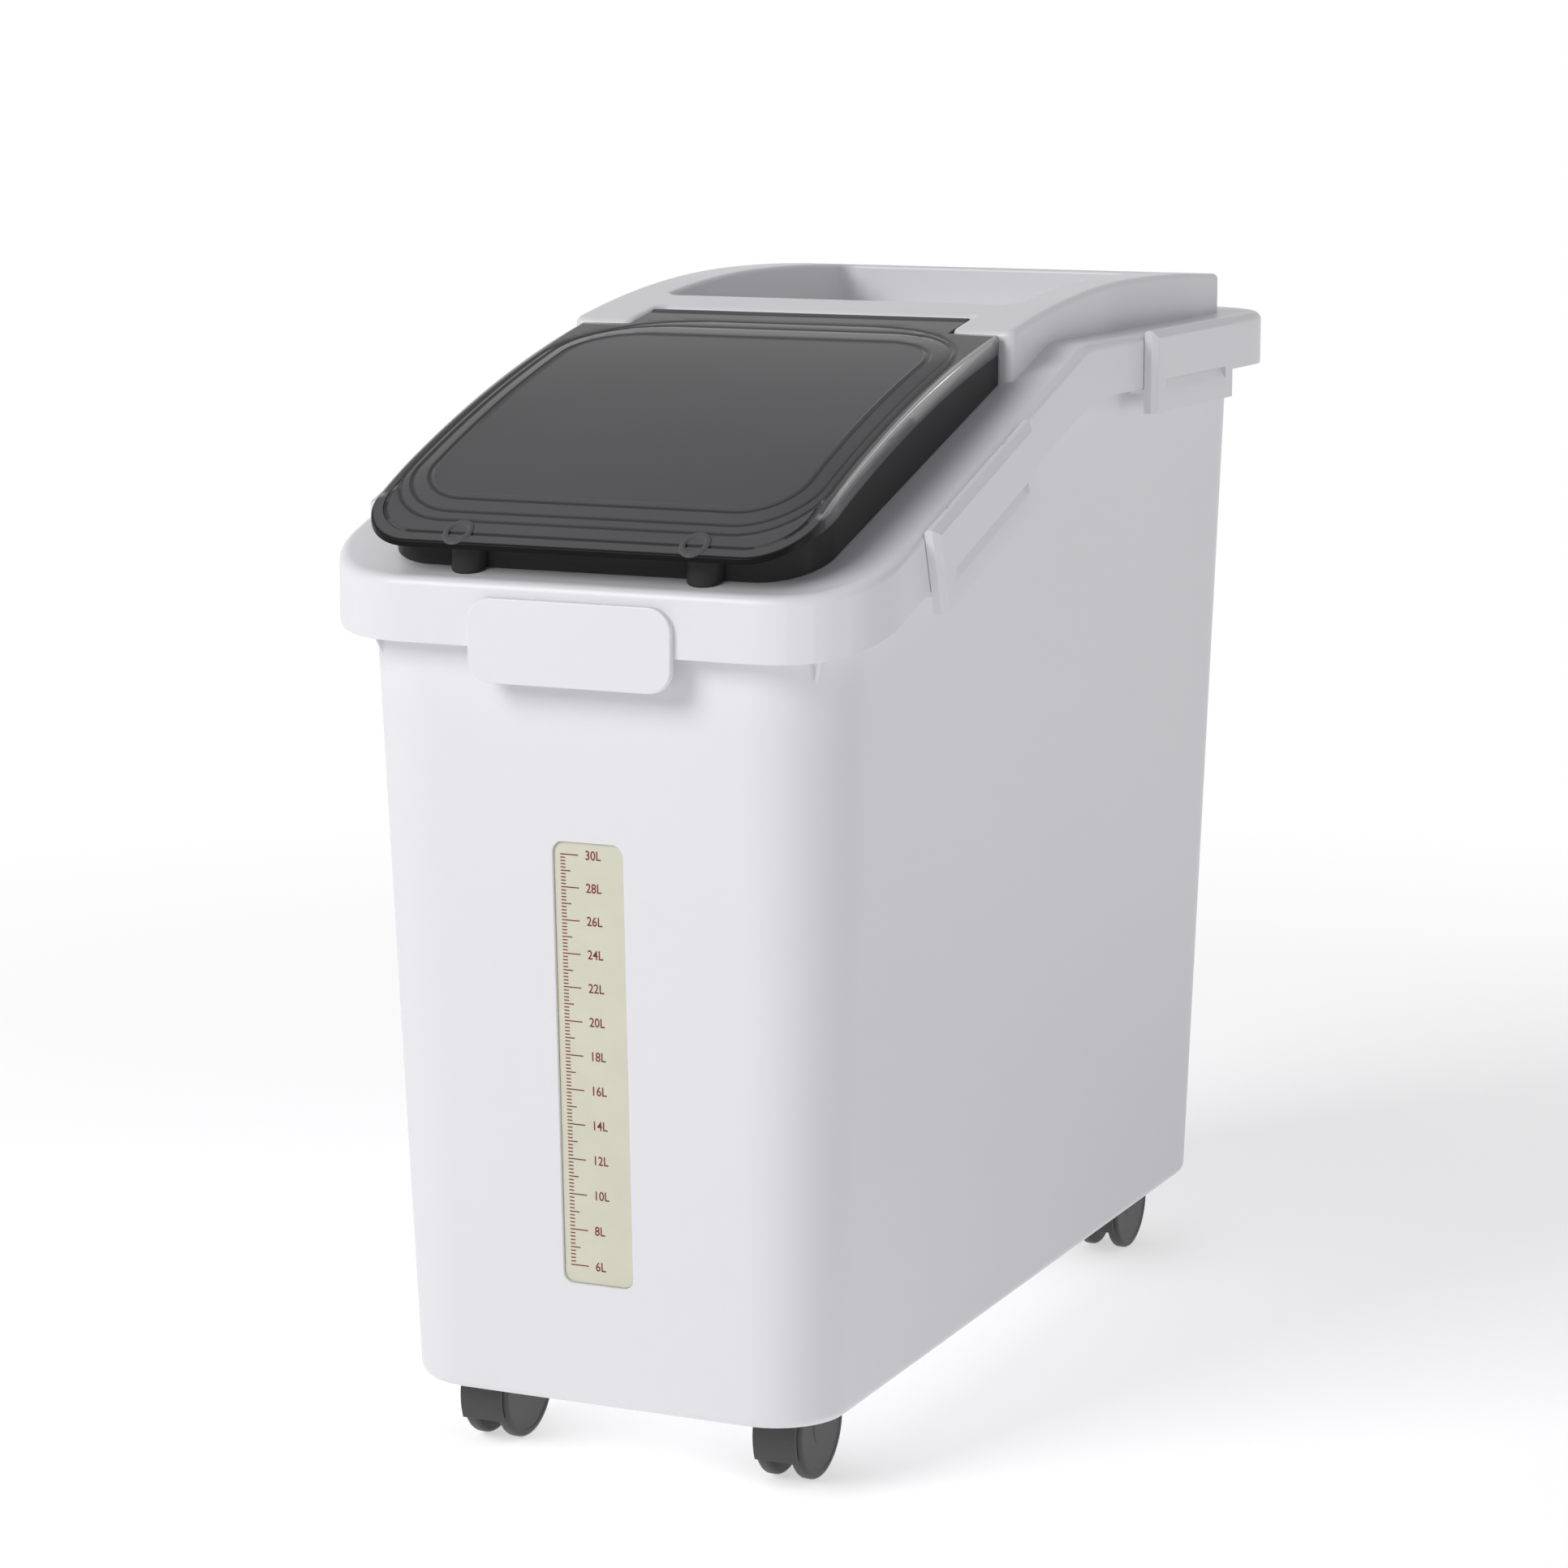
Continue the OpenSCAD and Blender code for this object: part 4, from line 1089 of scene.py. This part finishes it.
# %% Lid: nose groove
NOSE_GROOVE_X, NOSE_GROOVE_Y, NOSE_GROOVE_R = 103.4 * MM, -290.3 * MM, 24 * MM
NOSE_GROOVE_END, WIRE_R, WIRE_UP = -256 * MM, 1.35 * MM, 0.5 * MM
wire = rounded_sheet(
    "wire", (-NOSE_GROOVE_X, NOSE_GROOVE_Y), (NOSE_GROOVE_X, LID_REAR), 0, NOSE_GROOVE_R, 0)
edit(wire)
pick_all()
bpy.ops.mesh.bisect(plane_co=(0, NOSE_GROOVE_END, 0), plane_no=(0, 1, 0), clear_outer=True)
pick("EDGE", lambda e: all(v.co.y > NOSE_GROOVE_END - NEAR for v in e.verts))
bpy.ops.mesh.delete(type="EDGE_FACE")
pick_all()
bpy.ops.mesh.subdivide(number_cuts=2)
done()
lift(wire, lambda p: lid_z(p.y) + heights[0] + WIRE_UP)
take(wire)
bpy.ops.object.convert(target="CURVE")
wire.data.bevel_depth = WIRE_R
wire.data.bevel_resolution = 2
wire.data.use_fill_caps = True
bpy.ops.object.convert(target="MESH")
# Painted shade: the wire's faces darken the nose groove that it cuts.
paint(wire, "depth", lambda p: GROOVE_SHADE)
cut_away(lid, wire)
print("nose groove cut:", len(lid.data.polygons), "faces")

# %% Lid: eyelets
POST_X, EYELET_Y, EYELET_R, EYELET_T, FLATTEN = 57.5 * MM, -289.5 * MM, 5.6 * MM, 1.5 * MM, 0.6
marks = []
for x in (-POST_X, POST_X):
    eyelet = fresh(bpy.ops.mesh.primitive_torus_add, major_segments=48, minor_segments=12,
                   major_radius=EYELET_R, minor_radius=EYELET_T, location=(x, EYELET_Y, 0))
    bpy.ops.object.transform_apply(location=True)
    edit(eyelet)
    pick_all()
    bpy.ops.transform.resize(value=(1, 1, FLATTEN))
    done()
    lift(eyelet, lambda p: lid_z(p.y) + heights[0])
    marks.append(eyelet)
print("eyelets:", len(marks))

# %% Lid: hinge barrel
BARREL_SOFT = 0.5 * MM
barrel = fresh(bpy.ops.mesh.primitive_cylinder_add, vertices=48, radius=BARREL_R, depth=2 * TONGUE_X,
               location=(0, HINGE_Y, HINGE_Z), rotation=(0, math.pi / 2, 0))
edit(barrel)
pick("EDGE", lambda e: crease(e) > SHARP)
round_edges(BARREL_SOFT, 2)
done()
lid = join("lid_shell", [lid, barrel] + marks)
smooth(lid, degrees=40)
settle(lid, "lid", "lid", smoke)

# %% [markdown]
# Under the sheet a wall stands on the cover, set back in front, with two posts that stop the lid when
# it falls shut. Their tops follow the sheet and their feet follow the deck, so each is made one unit
# tall and its two ends are lifted by different heights.

# %% Lid: wall
SKIRT_X, SKIRT_REAR_X, SKIRT_FRONT, SKIRT_R = LID_X - 3 * MM, LID_X - 0.2 * MM, -277 * MM, 28 * MM
UNDER_LID, OVER_DECK = 2.6 * MM, 0.3 * MM
WALL_MIDDLE = Vector((0, LID_MIDDLE_Y, 0.5))  # while the wall is one unit tall


def between_deck_and_lid(point):
    """How far a point of a form one unit tall moves: its top to the lid, its foot to the deck."""
    return lid_z(point.y) - UNDER_LID - 1 if point.z > 0.5 else deck_z(point.y) + OVER_DECK


skirt = rounded_sheet("lid_wall", (-SKIRT_X, SKIRT_FRONT), (SKIRT_X, LID_REAR), 0, SKIRT_R, 0)
edit(skirt)
pick("VERT", lambda v: v.co.y > LID_REAR - NEAR)
bpy.ops.transform.resize(value=(SKIRT_REAR_X / SKIRT_X, 1, 1))
pick_all()
bpy.ops.mesh.delete(type="ONLY_FACE")
pick_all()
draw_edges((0, 0, 1))
done()
cut_rows(skirt, SKIRT_FRONT + ROW, LID_REAR - ROW, ROW)
turn_out(skirt, looks_away(WALL_MIDDLE))
lift(skirt, between_deck_and_lid)
modify(skirt, "SOLIDIFY", thickness=SHEET_T, offset=-1, use_even_offset=True)
print("lid wall:", len(skirt.data.polygons), "faces")

# %% Lid: posts
POST_Y, POST_R, POST_SOFT = SKIRT_FRONT - 1.5 * MM, 8.2 * MM, 0.8 * MM
posts = []
for x in (-POST_X, POST_X):
    post = fresh(bpy.ops.mesh.primitive_cylinder_add, vertices=48, radius=POST_R, depth=1,
                 location=(x, POST_Y, 0.5))
    bpy.ops.object.transform_apply(location=True)
    edit(post)
    pick("EDGE", lambda e: all(v.co.z < NEAR for v in e.verts))
    round_edges(POST_SOFT, 3)
    done()
    lift(post, between_deck_and_lid)
    posts.append(post)
wall = join("lid_wall", [skirt] + posts)
smooth(wall)
# The wall's darker finish is painted shade.
settle(wall, "lid", None, smoke_wall_painted_shade)

# %% [markdown]
# ## Front plate
# A plain plate pegged to the front of the skirt. It is a rounded sheet drawn out to its thickness,
# with its front edge softened, and then stood up against the skirt.

# %% Front plate
PLATE_W, PLATE_H, PLATE_R, PLATE_Z = 99 * MM, 38 * MM, 11 * MM, 371.5 * MM
PLATE_T, PLATE_SOFT = 3 * MM, 0.9 * MM
PEG_R, PEG_L, PEG_X = 3 * MM, 3.6 * MM, 30 * MM
PEG_Y, PEG_Z = COVER_FRONT + 0.8 * MM, 401.75 * MM


def draw_out(piece, thickness, soft):
    """Give a flat sheet a thickness, and round the edge of the face that was drawn out."""
    edit(piece)
    pick_all()
    draw_faces((0, 0, thickness))
    top = max(v.co.z for v in bmesh.from_edit_mesh(piece.data).verts)
    pick("EDGE", at_level(top))
    round_edges(soft, 4)
    pick_all()
    bpy.ops.mesh.normals_make_consistent(inside=False)
    done()


plate = rounded_sheet("plate", (-PLATE_W / 2, 0), (PLATE_W / 2, PLATE_H), 0, PLATE_R, PLATE_R)
draw_out(plate, PLATE_T, PLATE_SOFT)
plate.data.transform(Matrix.Translation((0, COVER_FRONT, PLATE_Z)) @ STAND_UP)
pegs = [fresh(bpy.ops.mesh.primitive_cylinder_add, vertices=32, radius=PEG_R, depth=PEG_L,
              location=(x, PEG_Y, PEG_Z), rotation=(math.pi / 2, 0, 0)) for x in (-PEG_X, PEG_X)]
plate = join("plate_front", [plate] + pegs)
smooth(plate)
settle(plate, "base", "front_plate", shell_white)

# %% [markdown]
# ## Sight strip and litre scale
# A frosted strip lets the level inside show through the front wall. Strip, ticks and numbers are
# drawn flat like the window, and the same matrix leans them all. The tub widens upwards, so a litre
# takes less height near the top: the height is a quadratic of the litres.

# %% Sight strip
STRIP_SINK, STRIP_SOFT = 1.4 * MM, 0.5 * MM
LIP_WIDE, LIP_T, LIP_SOFT = 4 * MM, 1.4 * MM, 0.4 * MM


def frosted(name, colour):
    """Milky plastic with a mottled body and a matt skin."""
    finish = new_finish(name)
    place = finish.add("TexCoord")["Object"]
    mottle = noise(finish, place, 60.0, 3.0)
    skin = noise(finish, place, 1400.0, 2.0)
    deep, pale = ([level * share for level in colour] for share in (0.94, 1.05))
    bump = finish.add("Bump", None, {"Strength": 0.12, "Distance": 0.0003, "Height": skin})
    surface = finish.add("BsdfPrincipled", None, {
        "Base Color": mixed(finish, mottle, deep, pale), "Roughness": 0.5 + 0.15 * skin,
        "Normal": bump["Normal"]})
    return finish.end(surface["BSDF"])


strip_cream = frosted("strip_cream", (0.66, 0.645, 0.52))
strip = strip_sheet(0, -WALL)
draw_out(strip, WALL - STRIP_SINK, STRIP_SOFT)
lip = strip_sheet(LIP_WIDE, -WALL - LIP_T)
draw_out(lip, LIP_T, LIP_SOFT)
strip = join("sight_strip_frosted", [strip, lip])
strip.data.transform(ON_FRONT)
smooth(strip)
settle(strip, "base", "sight_strip", strip_cream)

# %% Litre scale: ticks
LITRES, TICKS_PER_LITRE = range(6, 31), 5
TICK_LEFT, TICK_T, PRINT_T = -14.0 * MM, 0.5 * MM, 0.08 * MM
LONG_TICK, MID_TICK, SHORT_TICK = 8.8 * MM, 4.8 * MM, 2.4 * MM
LOWEST, PER_LITRE, LESS_HIGHER_UP = 8.3, 8.47, 0.0215  # in mm


def litre_height(litres):
    """Height of a level on the strip, from the strip's lower end."""
    above = litres - LITRES[0]
    return (LOWEST + PER_LITRE * above - LESS_HIGHER_UP * above ** 2) * MM


ticks = fresh(bpy.ops.mesh.primitive_plane_add, size=1)
ticks.name = "ticks"
edit(ticks)
pick_all()
bpy.ops.mesh.delete(type="VERT")
for step in range((LITRES[-1] - LITRES[0]) * TICKS_PER_LITRE + 1):
    litre, part = divmod(step, TICKS_PER_LITRE)
    length = SHORT_TICK if part else MID_TICK if litre % 2 else LONG_TICK
    up = litre_height(LITRES[0] + step / TICKS_PER_LITRE)
    bpy.ops.mesh.primitive_plane_add(size=1, location=(TICK_LEFT + length / 2, up, -STRIP_SINK))
    bpy.ops.transform.resize(value=(length, TICK_T, 1))
pick_all()
draw_faces((0, 0, PRINT_T))
done()
print("ticks:", len(ticks.data.polygons), "faces")

# %% Litre scale: numbers
NUMBER_LEFT, NUMBER_SIZE, NARROW, BOLDER = -1.8 * MM, 6.0 * MM, 0.87, 0.05 * MM
numbers = []
for litre in LITRES[::2]:
    number = fresh(bpy.ops.object.text_add)
    number.data.body = f"{litre}L"
    number.data.size = NUMBER_SIZE
    number.data.align_x, number.data.align_y = "LEFT", "CENTER"
    number.data.extrude, number.data.offset = PRINT_T / 2, BOLDER
    number.data.resolution_u = 4
    bpy.ops.object.convert(target="MESH")
    place = Matrix.Translation((NUMBER_LEFT, litre_height(litre), PRINT_T / 2 - STRIP_SINK))
    number.data.transform(place @ Matrix.Diagonal((NARROW, 1, 1, 1)))
    numbers.append(number)
ink = plastic(
    "scale_ink", (0.19, 0.011, 0.011), roughness=0.42, drift=0.10, grain_size=0.0009, grain=0.05)
scale = join("litre_scale", [ticks] + numbers)
scale.data.transform(ON_FRONT)
settle(scale, "base", None, ink)

# %% [markdown]
# ## Latches
# A latch is a moulded clip that swings on a wire pin and hooks under the tub's flange. A block is drawn
# out into a face with a sloped top and sloped ends. The finger groove, the hollow behind the face, the
# bore and the room for the lugs are cut out of it. Four copies of the clip then get their hooks, which
# sit at two heights, so their place is taken from the solids.

# %% Latches: one clip
CLIP_L, CLIP_TOP, CLIP_FOOT = 124 * MM, 2.6 * MM, -38.4 * MM
CLIP_BACK, CLIP_FACE = -2.6 * MM, 3.9 * MM
SLOPED, SLOPED_T, BACK_CHAMFER, CLIP_SOFT = 3.6 * MM, 2.8 * MM, 1.4 * MM, 0.3 * MM

clip = block((CLIP_BACK, -CLIP_L / 2, CLIP_FOOT), (CLIP_FACE - SLOPED_T, CLIP_L / 2, CLIP_TOP))
edit(clip)
pick("FACE", lambda f: f.normal.x > 0.9)
draw_faces((SLOPED_T, 0, 0))
bpy.ops.transform.resize(value=(1, 1 - 2 * SLOPED / CLIP_L, 1))
pick("VERT", lambda v: v.co.x > CLIP_FACE - NEAR and v.co.z > 0)
bpy.ops.transform.translate(value=(0, 0, -SLOPED))
pick("EDGE", lambda e: all(v.co.x < 0 and v.co.z > 0 for v in e.verts))
round_edges(BACK_CHAMFER, 1)
pick("EDGE", lambda e: crease(e) > FAINT and all(v.co.x > CLIP_FACE - SLOPED_T - NEAR for v in e.verts))
round_edges(CLIP_SOFT, 2)
done()
print("clip:", len(clip.data.polygons), "faces")

# %% Latches: groove, hollow and room for the lugs
GROOVE_L, GROOVE_LOW, GROOVE_HIGH, GROOVE_T = 94 * MM, -28 * MM, -22 * MM, 3 * MM
BEHIND, OVER_TOP = -4 * MM, 4 * MM  # outside the clip
HOLLOW_L, HOLLOW_LOW, HOLLOW_HIGH, HOLLOW_FACE = 114 * MM, -19.5 * MM, -5 * MM, 1.5 * MM
LUG_PLAY, ROOM_LOW, BORE_R, BORE_END = 0.3 * MM, -2.3 * MM, 0.97 * MM, 2 * MM

groove = block((CLIP_FACE - GROOVE_T, -GROOVE_L / 2, GROOVE_LOW),
               (2 * CLIP_FACE, GROOVE_L / 2, GROOVE_HIGH))
edit(groove)
pick("VERT", lambda v: v.co.x < CLIP_FACE and v.co.z < GROOVE_LOW + NEAR)
bpy.ops.transform.translate(value=(GROOVE_T, 0, 0))
done()
cut_away(clip, groove)
cut_away(clip, block((BEHIND, -HOLLOW_L / 2, HOLLOW_LOW), (HOLLOW_FACE, HOLLOW_L / 2, HOLLOW_HIGH)))
room = LUG_L / 2 + LUG_PLAY
for along in (-LUG_SPREAD, LUG_SPREAD):
    cut_away(clip, block((BEHIND, along - room, ROOM_LOW), (0, along + room, OVER_TOP)))
    cut_away(clip, pin_rod(LUG_R + LUG_PLAY, 2 * room, along))
cut_away(clip, pin_rod(BORE_R, CLIP_L - 2 * BORE_END, 0))
print("clip with its cuts:", len(clip.data.polygons), "faces")

# %% Latches: hooks and places
HOOK_ROOT, HOOK_SOFT = 1 * MM, 0.6 * MM
for corner in CORNERS:
    back = pin_place(corner).inverted()
    solid = [back @ v.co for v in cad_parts["latch_" + corner].data.vertices]
    grip = [p for p in solid if p.x < CLIP_BACK - HOOK_ROOT]
    low, high = (Vector(f(p[i] for p in grip) for i in range(3)) for f in (min, max))
    latch = copy_of(clip, "clip_" + corner)
    hook = block(low, (CLIP_BACK + HOOK_ROOT, high.y, high.z))
    edit(hook)
    pick("EDGE", lambda e: all(v.co.x < low.x + NEAR for v in e.verts))
    round_edges(HOOK_SOFT, 3)
    done()
    cut_away(latch, hook, "UNION")
    latch.data.transform(pin_place(corner))
    smooth(latch)
    settle(latch, "latch_" + corner, "latch_" + corner, shell_white)
bpy.data.objects.remove(clip)

# %% [markdown]
# ## Casters
# The hood of a twin caster is dark moulded plastic and its wheels are plain discs with a round tread.
# A hood is a copy of its solid with soft edges, trimmed at its lower edge so that the gap between the
# wheels shows. One wheel is modelled: a cylinder whose tread is rounded, with a shallow dish on its
# outer face and a bore for the axle on the inner one. Copies then go to the places of the eight wheel
# solids, turned so that the dish looks outwards.

# %% Caster hoods
caster_dark = plastic(
    "caster_dark", (0.050, 0.050, 0.051), roughness=0.46, drift=0.12, grain_size=0.0008, grain=0.10)
HOOD_FOOT, HOOD_SOFT = 13.5 * MM, 0.4 * MM
for corner in CORNERS:
    hood = copy_solid("hood_" + corner, "fork_" + corner)
    edit(hood)
    pick_all()
    bpy.ops.mesh.bisect(plane_co=(0, 0, HOOD_FOOT), plane_no=(0, 0, 1), clear_inner=True, use_fill=True)
    pick("EDGE", lambda e: e.is_manifold and crease(e) > BLUNT and e.calc_length() > 2.2 * HOOD_SOFT)
    bpy.ops.mesh.bevel(offset=HOOD_SOFT, segments=3, affect="EDGES", clamp_overlap=True)
    done()
    smooth(hood)
    settle(hood, "caster_" + corner, "hood_" + corner, caster_dark)

# %% Wheel
WHEEL_R, WHEEL_W, TREAD_R, AXLE_R, AXLE_HOLD = 25 * MM, 6.6 * MM, 2.2 * MM, 2.55 * MM, 4.2 * MM
DISH = [(1.2, 0.0), (0.4, -0.35), (12.5, -0.25), (0.5, 0.3)]  # way in and height of each step, in mm
wheel = fresh(bpy.ops.mesh.primitive_cylinder_add, vertices=96, radius=WHEEL_R, depth=WHEEL_W)
edit(wheel)
pick("EDGE", lambda e: crease(e) > SHARP)
round_edges(TREAD_R, 5)
pick("FACE", lambda f: f.normal.z > 0.99)
for inset, depth in DISH:
    bpy.ops.mesh.inset(thickness=inset * MM, depth=depth * MM)
pick("FACE", lambda f: f.normal.z < -0.99)
bpy.ops.mesh.inset(thickness=WHEEL_R - TREAD_R - AXLE_R)
draw_faces((0, 0, AXLE_HOLD))
done()
print("wheel", len(wheel.data.polygons), "faces")

# %% Wheels in place
for corner in CORNERS:
    stem_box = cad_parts["stem_" + corner].bound_box
    middle_x = sum(point[0] for point in stem_box) / len(stem_box)
    for place in ("outer", "inner"):
        node = f"wheel_{corner}_{place}"
        low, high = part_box(node)
        centre = (low + high) / 2
        out = 1 if centre.x > middle_x else -1
        centre.x += out * ((high.x - low.x) - WHEEL_W) / 2
        tyre = copy_of(wheel, f"tyre_{corner}_{place}")
        tyre.data.transform(Matrix.Translation(centre) @ Matrix.Rotation(out * math.pi / 2, 4, "Y"))
        smooth(tyre)
        settle(tyre, node, node, caster_dark)
bpy.data.objects.remove(wheel)

# %% [markdown]
# ## Steel
# The hinge rod, the latch pins, the stems and the axles are drawn wire: their solids are right as they
# are, so they only get a finish, with fine drawing lines and a little tarnish.


# %% Steel finish
def drawn_steel(name):
    """Bright wire with fine drawing lines and a little tarnish."""
    finish = new_finish(name)
    place = finish.add("TexCoord")["Object"]
    along = finish.add("Mapping", None, {"Vector": place, "Scale": (40, 2400, 2400)})["Vector"]
    lines = noise(finish, along, 1.0, 3.0)
    tarnish = noise(finish, place, 90.0, 2.0)
    dull, bright = (0.42, 0.42, 0.43), (0.62, 0.62, 0.63)
    surface = finish.add("BsdfPrincipled", None, {
        "Base Color": mixed(finish, tarnish, dull, bright), "Metallic": 1.0,
        "Roughness": 0.22 + 0.18 * lines})
    return finish.end(surface["BSDF"])


steel = drawn_steel("steel_wire")
wires = ["hinge_rod"] + [kind + corner for kind in ("pin_", "stem_", "axle_") for corner in CORNERS]
for node in wires:
    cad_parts[node].material_slots[0].material = steel
print("steel on", len(wires), "solids")
